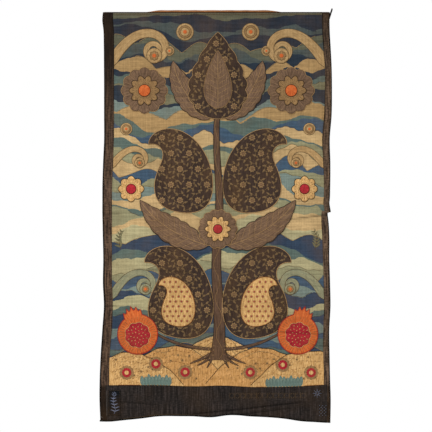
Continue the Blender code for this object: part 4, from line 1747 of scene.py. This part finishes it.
@dataclass(frozen=True)
class Damask:
    """All-over damask: vines that curl in round flowers, in rows that step by half a repeat."""

    repeat: Pair = (0.108, 0.094)
    outer: float = 0.046
    inner: float = 0.029
    turns: float = 0.92
    vine: float = 0.0014
    vine_points: int = 31
    blade: LeafCut = LeafCut((0.0, 0.0), 90, 0.024, 0.0058, rows=8, columns=4)
    # Columns: a leaf's turn from its vine, its size, first point on the vine, points to the next
    leaves: Rows = (
        (0.85, 1.0, 1, 4), (2.3, 0.62, 3, 6),
    )
    # Shape, height and finish of each layer of a flower
    flower: tuple[tuple[RoundCut, float, int], ...] = (
        (RoundCut(radius=0.0205, petals=8, scallop=0.38, rings=3, steps=48), 0.0003, 0),
        (RoundCut(radius=0.011, petals=6, scallop=0.3, rings=2, steps=36), 0.0009, 1),
        (RoundCut(radius=0.0046, rings=2, steps=10), 0.0012, 0),
    )

    def sow(self, pile: MeshPile, cut: LeafCut, face: float) -> None:
        """Sows one leaf; what would cross its edge is left off.

        A vine's places are its cell's middle plus a radius that shrinks along it, at a turn that
        grows along it, one way round and the other in turn.

        Args:
            pile: Where they go.
            cut: The leaf.
            face: Height of its face.
        """
        cells = [np.arange(e.min() // r - 1, e.max() // r + 2) for e, r in zip(cut.edge(), self.repeat)]
        column, row = (part.reshape(-1, 1) for part in np.meshgrid(*cells))
        middle_x, middle_depth = (column + 0.5 * (row % 2)) * self.repeat[0], row * self.repeat[1]
        hand = 1 - 2 * (row % 2)
        t = shares(self.vine_points)
        turn = 0.4 + hand * np.pi / 2 + 0.9 * column + hand * 2 * np.pi * self.turns * t
        radius = self.outer + (self.inner - self.outer) * t**0.7
        x, depth = middle_x + radius * np.cos(turn), middle_depth - radius * np.sin(turn)
        inside = within(cut, x, depth, 0.007)
        for k in range(len(column)):
            for run in runs(inside[k], 5):
                pile.cord(x[k, run], depth[k, run], face + 0.0004, self.vine, 4, 2)
        for lean, size, first, apart in self.leaves:
            for step in range(first, len(t), apart):
                at_x, at_depth = x[:, step], depth[:, step]
                heading = turn[:, step] + hand[:, 0] * lean
                length = size * self.blade.length
                tip = at_x + length * np.cos(heading), at_depth - length * np.sin(heading)
                fits = within(cut, *tip, 0.004) & within(cut, at_x, at_depth, 0.006)
                places = at_x[fits], at_depth[fits], heading[fits] - np.pi / 2
                pile.copies(self.blade, face + 0.0002, 0.0007, 2, *places, size)
        fits = within(cut, middle_x, middle_depth, 0.015)
        places = middle_x[fits], middle_depth[fits], 0.6 * column[fits]
        for shape, height, finish in self.flower:
            pile.copies(shape, face + height, 0.0006, finish, *places)


@dataclass
class Paisleys(Part):
    """Two pairs of great curling leaves in dark damask, with gold florets and sprigs all over."""

    lower: LeafCut = LeafCut((0.261, 1.95), 100, 0.64, 0.195, -150, 3.0, 0.52, rows=96, columns=26)
    upper: LeafCut = LeafCut((0.236, 1.2), 98, 0.59, 0.175, -150, 3.0, 0.52, rows=96, columns=26)
    eye: LeafCut = LeafCut((0.263, 1.88), 100, 0.345, 0.1, -150, 3.0, 0.52, rows=64, columns=18)
    floret: RoundCut = RoundCut(radius=0.0095, petals=6, scallop=0.3, rings=2, steps=24)
    core: RoundCut = RoundCut(radius=0.004, rings=2, steps=12)
    dot_gap: float = 0.034
    edge_inset: float = 0.013
    edge_pitch: float = 0.0105
    lift: float = 0.0012
    puff: float = 0.0012

    def build(self) -> None:
        """Builds the leaves, their edge cords, their florets and the lower pair's cream eyes."""
        leaves = [Applied(cut, 0, self.lift, self.puff, 0.0021, True) for cut in (self.lower, self.upper)]
        self.apply("damask_leaves", leaves, ["damask"], ["tan_cord"])
        pile = MeshPile("damask_florets")
        for leaf in leaves:
            for cut in leaf.sides():
                Damask().sow(pile, cut, leaf.face())
        self.work.lay(pile, ["damask_gold", "brown_silk", "ochre_silk"])
        eye = Applied(self.eye, 0, self.lift + 0.003, 0.0012, 0.0018, True)
        self.apply("leaf_eyes", [eye], ["cream_wool"], ["rust_cord"])
        dots = MeshPile("eye_dots")
        column, row = (part.ravel() for part in np.meshgrid(np.arange(-6, 7), np.arange(0, 14)))
        for cut in eye.sides():
            x = cut.root[0] + (column + 0.5 * (row % 2)) * self.dot_gap
            depth = cut.root[1] - (row - 1) * 0.86 * self.dot_gap
            fits = within(cut, x, depth, 0.014)
            x, depth = x[fits], depth[fits]
            dots.copies(self.floret, eye.face() + 0.0001, 0.0007, 0, x, depth, 0.3 * column[fits])
            dots.copies(self.core, eye.face() + 0.0009, 0.0006, 1, x, depth)
            inner = replace(cut, half_width=cut.half_width - self.edge_inset)
            places = np.array(along_path(*inner.edge(), self.edge_pitch))
            keep = within(cut, *places[:2], 0.008)
            dots.stitches(*places[:, keep], 0.0064, 0.0012, eye.face(), 2)
        self.work.lay(dots, ["gold_silk", "crimson_silk", "rust_cord"])


@dataclass
class SerratedLeaves(Part):
    """Taupe leaves with lobed edges and stitched veins, in two pairs, and the bud at the top."""

    side_leaf: LeafCut = LeafCut((0.071, 1.4), 18, 0.5, 0.074, 40, 1.5, 0.8, 0.8, 0.12, 7, 110, 16)
    top_leaf: LeafCut = LeafCut((0.061, 0.64), 42, 0.42, 0.07, 40, 1.5, 0.8, 0.8, 0.12, 7, 110, 16)
    bud: LeafCut = LeafCut((0.011, 0.64), 90, 0.52, 0.165, 0, 1.0, 0.62, 0.8, 0.1, 6, 120, 28)
    heart: LeafCut = LeafCut((0.011, 0.575), 90, 0.345, 0.084, 0, 1.0, 0.62, 0.8, rows=80, columns=16)
    rib: float = 0.0014
    vein: float = 0.0009
    # Shares along the rib where the first vein leaves it, where none leaves it, and between two
    vein_starts: tuple[float, float, float] = (0.08, 0.84, 0.085)

    def build(self) -> None:
        """Builds the leaves, their cords, and veins that branch from a middle rib."""
        rows = (
            Applied(self.side_leaf, 0, 0.003, pair=True),
            Applied(self.top_leaf, 0, 0.0024, pair=True),
            Applied(self.bud, 1, 0.0042, 0.0012),
            Applied(self.heart, 2, 0.006),
        )
        finishes, cords = ["taupe_silk", "damask", "taupe_silk"], ["dark_cord", "tan_cord", "gold_silk"]
        self.apply("taupe_leaves", rows, finishes, cords)
        veins, flowers = MeshPile("leaf_veins"), MeshPile("bud_florets")
        for row in rows:
            if row.cut is self.bud:
                Damask().sow(flowers, row.cut, row.face())
                continue
            for cut in row.sides():
                self.veins(veins, cut, row.face() + 0.0002)
        self.work.lay(veins, ["tan_cord"])
        self.work.lay(flowers, ["damask_gold", "brown_silk", "ochre_silk"])

    def veins(self, pile: MeshPile, cut: LeafCut, height: float) -> None:
        """One leaf's veins: the spine, and side veins that sweep forward to the edge.

        Args:
            pile: Where they go.
            cut: The leaf.
            height: Height of the rib.
        """
        x, depth, _ = cut.spine(np.linspace(0.02, 0.96, 60))
        pile.cord(x, depth, height, self.rib)
        t = shares(16)
        for start in np.arange(*self.vein_starts):
            for side in (-1, 1):
                pile.cord(*cut.at(start + 0.11 * t, side * 0.86 * t**0.9), height - 0.0003, self.vein, 4)


@dataclass
class Fruits(Part):
    """Two pomegranates in orange and crimson silk at the foot, with cream seeds."""

    fruit: RoundCut = RoundCut((0.491, 1.93), 0.12, crown=0.48, lean=-0.25, rings=12, steps=160)
    flesh: RoundCut = RoundCut((0.491, 1.935), 0.078, 9, 0.1, rings=8, steps=120)
    seeds: int = 29
    seed_gap: float = 0.0115
    rays: int = 40
    ray_reach: float = 0.098

    def build(self) -> None:
        """Builds the fruits, their cords, their rays and their seeds, each turned on by a golden angle."""
        fruit = Applied(self.fruit, 0, 0.0034, 0.0018, 0.002, True)
        flesh = Applied(self.flesh, 1, 0.0056, 0.0012, 0.0016, True)
        silks = ["orange_silk", "crimson_silk"]
        self.apply("pomegranates", (fruit, flesh), silks, ["crimson_silk", "cream_wool"])
        pile = MeshPile("pomegranate_seeds")
        k = np.arange(1, self.seeds + 1)
        reach, turn = self.seed_gap * np.sqrt(k), k * 2.39996
        rays = np.arange(self.rays) * 2 * np.pi / self.rays
        for side, fruit_side, flesh_side in zip((1, -1), fruit.sides(), flesh.sides()):
            x, depth = flesh_side.centre
            x, depth = x + side * reach * np.cos(turn), depth - reach * np.sin(turn)
            pile.stitches(x, depth, side * turn, 0.01, 0.0024, flesh.face())
            x, depth = fruit_side.centre
            x, depth = x + side * self.ray_reach * np.cos(rays), depth - self.ray_reach * np.sin(rays)
            turns = rays if side > 0 else np.pi - rays
            pile.stitches(x, depth, turns, 0.022, 0.0011, fruit.face() - 0.0002, 1)
        self.work.lay(pile, ["cream_wool", "gold_silk"])


@dataclass
class Rosettes(Part):
    """Rosettes of three layers: a pair near the top, a small pair at mid height, one on the stem."""

    rows: tuple[Applied, ...] = (
        Applied(RoundCut((0.451, 0.47), 0.14, 12, 0.1, rings=10, steps=168), 0, 0.0012, pair=True),
        Applied(RoundCut((0.451, 0.47), 0.092, 10, 0.25, rings=8, steps=140), 1, 0.0026, pair=True),
        Applied(RoundCut((0.451, 0.47), 0.036, rings=6, steps=60), 2, 0.0042, 0.0016, pair=True),
        Applied(RoundCut((0.531, 1.06), 0.078, 8, 0.2, rings=8, steps=112), 3, 0.0012, pair=True),
        Applied(RoundCut((0.531, 1.06), 0.03, rings=5, steps=48), 4, 0.0028, 0.0014, pair=True),
        Applied(RoundCut((0.011, 1.3), 0.118, 14, 0.08, rings=8, steps=168), 0, 0.0058),
        Applied(RoundCut((0.011, 1.3), 0.078, 10, 0.25, rings=8, steps=140), 3, 0.0072),
        Applied(RoundCut((0.011, 1.3), 0.028, rings=5, steps=48), 4, 0.0088, 0.0016),
    )
    # Columns, in shares of the radius: distance of a ring of stitches from the middle, their length
    rings: Rows = (
        (0.72, 0.16), (0.5, 0.1),
    )

    def build(self) -> None:
        """Builds the rosettes with their cords and two rings of stitches each."""
        silks = ["taupe_silk", "gold_silk", "orange_silk", "cream_wool", "crimson_silk"]
        self.apply("rosettes", self.rows, silks, ["tan_cord"] + 4 * ["dark_cord"])
        pile = MeshPile("rosette_stitches")
        for row in self.rows:
            count = 3 * row.cut.petals
            turn = np.arange(count) * 2 * np.pi / max(count, 1)
            for cut in row.sides() if count else ():
                for share, length in self.rings:
                    reach = share * cut.radius
                    x, depth = cut.centre[0] + reach * np.cos(turn), cut.centre[1] - reach * np.sin(turn)
                    pile.stitches(x, depth, turn, length * cut.radius, 0.0011, row.face() - 0.0002)
        self.work.lay(pile, ["brown_cord"])


@dataclass
class Scrolls(Part):
    """Curling strips of tan and sage cloth that end in ringed roundels, stems, discs and small sprigs."""

    # Columns: root across and down, heading, length, half width, bend, roundel, finish; all in pairs
    volutes: Rows = (
        (0.672, 0.33, 124, 0.86, 0.034, 620, 0.046, 0),
        (0.66, 0.935, 128, 0.52, 0.023, 600, 0.03, 0),
        (0.656, 1.72, 122, 0.64, 0.026, 610, 0.034, 1),
    )
    # Columns: share of its radius, petals, scallop, finish or None for the strip's, lift, swelling,
    # cord, rings, steps
    volute_ends: tuple[tuple[float | None, ...], ...] = (
        (1.0, 0, 0.0, None, 0.002, 0.001, 0.0012, 6, 72),
        (0.62, 8, 0.18, 2, 0.0034, 0.0006, 0.0009, 5, 64),
        (0.26, 0, 0.0, 3, 0.0044, 0.001, 0.0, 4, 32),
    )
    # Columns: middle across and down, radius; all in pairs
    roundels: Rows = (
        (0.208, 0.118, 0.052), (0.302, 0.232, 0.03), (0.56, 0.7, 0.036),
    )
    # Columns: share of its radius, finish, lift, cord
    roundel_rings: Rows = (
        (1.0, 0, 0.0008, 0.0009), (0.74, 2, 0.0018, 0.0009), (0.5, 0, 0.0026, 0.0009),
        (0.22, 3, 0.0034, 0.0),
    )
    stem: LeafCut = LeafCut((0.04, 2.02), 2, 0.4, 0.01, 34, 1.2, rows=60, columns=6, taper=0.35)
    sprig: LeafCut = LeafCut((0.59, 1.425), 68, 0.12, 0.0, 60)
    blade: LeafCut = LeafCut((0.0, 0.0), 90, 1.0, 0.17, 30, rows=12, columns=4)
    blade_lean: float = 0.75
    # Share of a strip's length at which its roundel is centred
    end_share: float = 0.985
    power: float = 2.5

    def volute(self, row: tuple[float, ...]) -> list[Applied]:
        """One curling strip and the ringed roundel at its end.

        Args:
            row: Its row of the table.
        Returns:
            Its cuts, the lowest first.
        """
        x, depth, heading, length, half, bend, radius, finish = row
        strip = LeafCut((x, depth), heading, length, half, bend, self.power, rows=110, columns=10, taper=0.62)
        centre = tuple(float(part[0]) for part in strip.spine(np.array([self.end_share]))[:2])
        cuts = [Applied(strip, finish, 0.0008, 0.0009, 0.0011, True)]
        for share, petals, scallop, silk, lift, puff, cord, rings, steps in self.volute_ends:
            end = RoundCut(centre, share * radius, petals, scallop, rings=rings, steps=steps)
            cuts.append(Applied(end, finish if silk is None else silk, lift, puff, cord, True))
        return cuts

    def build(self) -> None:
        """Builds the strips with their roundels, the discs, the stems and the sprigs."""
        rows = [cut for row in self.volutes for cut in self.volute(row)]
        for x, depth, radius in self.roundels:
            for share, finish, lift, cord in self.roundel_rings:
                disc = RoundCut((x, depth), share * radius, rings=5, steps=64)
                rows.append(Applied(disc, finish, lift, 0.0006, cord, True))
        rows.append(Applied(self.stem, 4, 0.001, 0.001, 0.001, True))
        cloths = ["tan_wool", "sage_wool", "gold_silk", "orange_silk", "stem_wool"]
        self.apply("scroll_pieces", rows, cloths, 4 * ["brown_cord"] + ["dark_cord"])
        pile = MeshPile("sky_sprigs")
        for sprig in (self.sprig, self.sprig.mirrored()):
            x, depth, turn = sprig.spine(shares(40))
            pile.cord(x, depth, LAYERS.ground + 0.0006, 0.0015)
            spots = np.arange(6, 40, 6)
            size = 0.34 * sprig.length * (1 - 0.012 * spots)
            for lean in (self.blade_lean, -self.blade_lean):
                places = x[spots], depth[spots], turn[spots] + lean - np.pi / 2
                pile.copies(self.blade, LAYERS.ground + 0.0003, 0.001, 1, *places, size)
        self.work.lay(pile, ["brown_cord", "moss_wool"])


# Finishes of this hanging, camera, light and floor


def finishes() -> dict[str, bpy.types.Material]:
    """Builds every material once.

    Returns:
        The materials, each under a short key.
    """
    made = {
        "ground": PiecedGround(),
        # Unbleached linen, plain woven: dull, dry, with darker and lighter threads both ways
        "backing": Cloth(
            "unbleached_linen_back", "#8d7a5c", "#a08c6b", "#74634a", 0.004, 0.08, run=Run.ACROSS
        ),
        # Cotton braid gone brown: ribs along its length, near-black turned edges, darker at the top
        "left_braid": RibbedStrip(
            "brown_cotton_braid_left", "#43342a", "#624d3d", "#241b16", "#0d0a09", 0.0062, 0.06,
            outer=0.012, top_darkening=0.9, foot=0.86,
        ),
        "right_braid": RibbedStrip(
            "brown_cotton_braid_right", "#483a2e", "#6a5544", "#281e18", "#0d0a09", 0.0062, 0.042,
            outer=0.009, inner=0.006, top_darkening=0.34, top_darkening_ends=(-0.46, -0.06), foot=0.7,
        ),
        # Corded wool and cotton, dyed near black: faint upright cords in brown and olive
        "band": RibbedStrip(
            "black_corded_wool", "#221e1c", "#393230", "#161312", "#14110f", 0.0052, 9.0, 0.0001, spread=0.2
        ),
        # Indigo wool, felted and worn: almost black, with a blue cast
        "patch": Cloth(
            "indigo_wool_patch", "#0e1013", "#1a1c21", "#070809", 0.003, 0.03,
            run=Run.ACROSS, sheen=0.0, stains=0.6,
        ),
        # Cotton tape faded to orange brown, twill woven
        "tape": Cloth(
            "orange_brown_cotton_tape", "#8a5a35", "#a16d44", "#704628", 0.0026, 0.04, run=Run.ACROSS
        ),
        # Linen strip, folded lengthwise and dark with handling
        "tie": Cloth(
            "dark_brown_linen_tie", "#100c0a", "#1a1411", "#0a0807", 0.002, 0.02, run=Run.DOWN, stains=0.15
        ),
        # Silk and wool damask, dark brown: soft, with long floating threads
        "damask": Cloth("brown_silk_damask", "#362a24", "#463830", "#261d19", 0.004, 0.11),
        # Silk and wool laid along the leaf or stem in long stitches: streaks with a faint lustre
        "taupe_silk": Cloth("taupe_silk_stitching", "#66503f", "#84694f", "#4c3b2f", 0.005, 0.07, 0.001),
        "stem_wool": Cloth("brown_wool_stem", "#503d30", "#6a5140", "#382920", 0.004, 0.09, 0.001),
        # Bright silks, satin stitched: smoother than the wools, with fine streaks of light and dark
        "orange_silk": Cloth(
            "orange_silk_stitching", "#bb5a2b", "#cf7740", "#98411c", 0.005, 0.05, 0.001, 0.7
        ),
        "crimson_silk": Cloth(
            "crimson_silk_stitching", "#96212a", "#b13039", "#6f151d", 0.004, 0.04, 0.001, 0.7
        ),
        # Gold-brown and ochre silks, dulled: small florets that stand out softly from the damask
        "gold_silk": Cloth("gold_brown_silk", "#866844", "#a07f54", "#644c31", 0.003, 0.03, 0.0008, 0.7),
        "damask_gold": Cloth("dull_gold_silk", "#7b6243", "#93784f", "#5c4832", 0.003, 0.03, 0.0008, 0.7),
        "ochre_silk": Cloth("dull_ochre_silk", "#665238", "#7b6345", "#4b3b28", 0.003, 0.03, 0.0008, 0.7),
        # Silk threads for small signs, in brown and in a washed-out blue grey
        "brown_silk": Cloth("brown_silk_thread", "#5a4332", "#6f5440", "#3d2d22", 0.003, 0.03),
        "pale_silk": Cloth("pale_blue_grey_silk", "#636c82", "#7a8498", "#4a5264", 0.002, 0.02),
        # Wool crewel yarn laid in long stitches: fuzzy, with lines of lighter and darker yarn
        "cream_wool": Cloth(
            "cream_wool_stitching", "#bd955f", "#d8b27c", "#9a7242", 0.006, 0.028, 0.001, run=Run.DOWN
        ),
        "apricot_wool": Cloth(
            "apricot_wool_stitching", "#b3854f", "#cfa06a", "#8f6737", 0.006, 0.036, 0.001, run=Run.DOWN
        ),
        "tan_wool": Cloth("tan_wool_stitching", "#a08258", "#b4966a", "#876b47", 0.006, 0.06),
        "sage_wool": Cloth("sage_wool_stitching", "#7d7c62", "#908e70", "#656a58", 0.006, 0.06),
        "moss_wool": Cloth("moss_wool_stitching", "#5f5c44", "#757156", "#4a4836", 0.004, 0.03),
        "teal_wool": Cloth("teal_wool_stitching", "#5c6f68", "#748578", "#445752", 0.006, 0.03),
        # Turned hem of the band, near black
        "hem_wool": Cloth(
            "black_hem_wool", "#0d0c0a", "#171512", "#070605", 0.002, 0.02, sheen=0.0, stains=0.15
        ),
        # Couched cords: twisted wool or linen, one colour, slightly ragged
        "dark_cord": Cloth("near_black_wool_cord", "#231a16", "#33271f", "#16100d", 0.002, 0.01),
        "brown_cord": Cloth("brown_wool_cord", "#57452f", "#6d5840", "#3d3022", 0.002, 0.01),
        "tan_cord": Cloth("tan_linen_cord", "#9c7c53", "#b5946a", "#7b603f", 0.002, 0.01),
        "sky_cord": Cloth("dull_tan_linen_cord", "#8b7450", "#a38a60", "#6c593c", 0.002, 0.01),
        "grey_cord": Cloth("worn_grey_cord", "#5e5a55", "#77726b", "#46423e", 0.002, 0.01),
        "rust_cord": Cloth("rust_linen_cord", "#7c4c2a", "#93603a", "#5c361d", 0.002, 0.01),
    }
    return {key: value.material() for key, value in made.items()}


@dataclass
class Studio:
    """Camera straight in front, soft light from the upper left, a pale floor out of the frame."""

    distance: float = 9.0
    height: float = -1.235
    seen_width: float = 2.592
    sensor: float = 36.0
    floor_height: float = -2.75
    floor_side: float = 4.0
    floor_back: float = 1.3
    aim: tuple[float, float, float] = (0.0, 0.0, -1.2)
    # Name, place, side of the lamp and power
    lamps: tuple[tuple[str, tuple[float, float, float], float, float], ...] = (
        ("key_light", (-1.9, -3.2, 2.3), 2.2, 235.0),
        ("fill_light", (3.4, -5.0, -0.6), 3.0, 75.0),
    )

    def build(self) -> None:
        """Makes the camera, the lights, the white surround and the floor."""
        scene = bpy.context.scene
        scene.view_settings.view_transform = "Standard"
        camera = bpy.data.cameras.new("camera")
        camera.sensor_width = self.sensor
        camera.lens = self.sensor * self.distance / self.seen_width
        eye = bpy.data.objects.new("camera", camera)
        eye.location = (0.0, -self.distance, self.height)
        eye.rotation_euler = (np.pi / 2, 0.0, 0.0)
        scene.collection.objects.link(eye)
        scene.camera = eye
        for name, place, size, power in self.lamps:
            light = bpy.data.lights.new(name, "AREA")
            light.size, light.energy = size, power
            lamp = bpy.data.objects.new(name, light)
            lamp.location = place
            x, y, z = np.array(self.aim) - np.array(place)
            lamp.rotation_euler = (np.arctan2(np.hypot(x, y), -z), 0.0, np.arctan2(y, x) - np.pi / 2)
            scene.collection.objects.link(lamp)
        self.surround(scene)
        self.floor(scene)

    def surround(self, scene: bpy.types.Scene) -> None:
        """Makes a surround that is white to the eye, and softer as a light.

        Args:
            scene: The scene.
        """
        world = bpy.data.worlds.new("studio")
        scene.world = world
        world.use_nodes = True
        tree = world.node_tree
        tree.nodes.clear()
        seen = node(tree, "Background", {"Color": (1.0, 1.0, 1.0, 1.0), "Strength": 1.0})
        lit = node(tree, "Background", {"Color": (1.0, 0.985, 0.965, 1.0), "Strength": 0.55})
        to_eye = node(tree, "LightPath").outputs["Is Camera Ray"]
        mixed = node(tree, "MixShader", {0: to_eye, 1: lit.outputs[0], 2: seen.outputs[0]})
        node(tree, "OutputWorld", {"Surface": mixed.outputs[0]})

    def floor(self, scene: bpy.types.Scene) -> None:
        """Makes a plain pale floor below the hanging.

        Args:
            scene: The scene.
        """
        mesh = bpy.data.meshes.new("floor")
        side, back, z = self.floor_side, self.floor_back, self.floor_height
        corners = [(-side, -side, z), (side, -side, z), (side, back, z), (-side, back, z)]
        mesh.from_pydata(corners, [], [(0, 1, 2, 3)])
        # Matt emulsion: pale and even, with the faintest cloudiness
        paint = bpy.data.materials.new("pale_matt_paint")
        paint.use_nodes = True
        tree = paint.node_tree
        shader = tree.nodes["Principled BSDF"].inputs
        world = node(tree, "TexCoord").outputs["Object"]
        mottle = node(tree, "TexNoise", {"Vector": world, "Scale": 3.0}).outputs["Fac"]
        stops = (0.3, "#e9e7e3"), (0.7, "#efedea")
        colour = node(tree, "ValToRGB", {"Fac": mottle}, stops).outputs["Color"]
        tree.links.new(colour, shader["Base Color"])
        shader["Roughness"].default_value = 0.9
        mesh.materials.append(paint)
        made = bpy.data.objects.new("floor", mesh)
        scene.collection.objects.link(made)


def main() -> None:
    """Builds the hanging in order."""
    logging.basicConfig(level=logging.INFO, format="%(name)s %(message)s")
    Studio().build()
    work = Work(finishes())
    for part in (
        PiecedField, SideBorders, FootBand, CornerPatch, HeadingTape, CornerTie,
        Sky, Mound, Trunk, Paisleys, SerratedLeaves, Fruits, Rosettes, Scrolls,
    ):
        part(work).build()
        LOG.info("%s done", part.__name__)


if __name__ == "__main__":
    main()
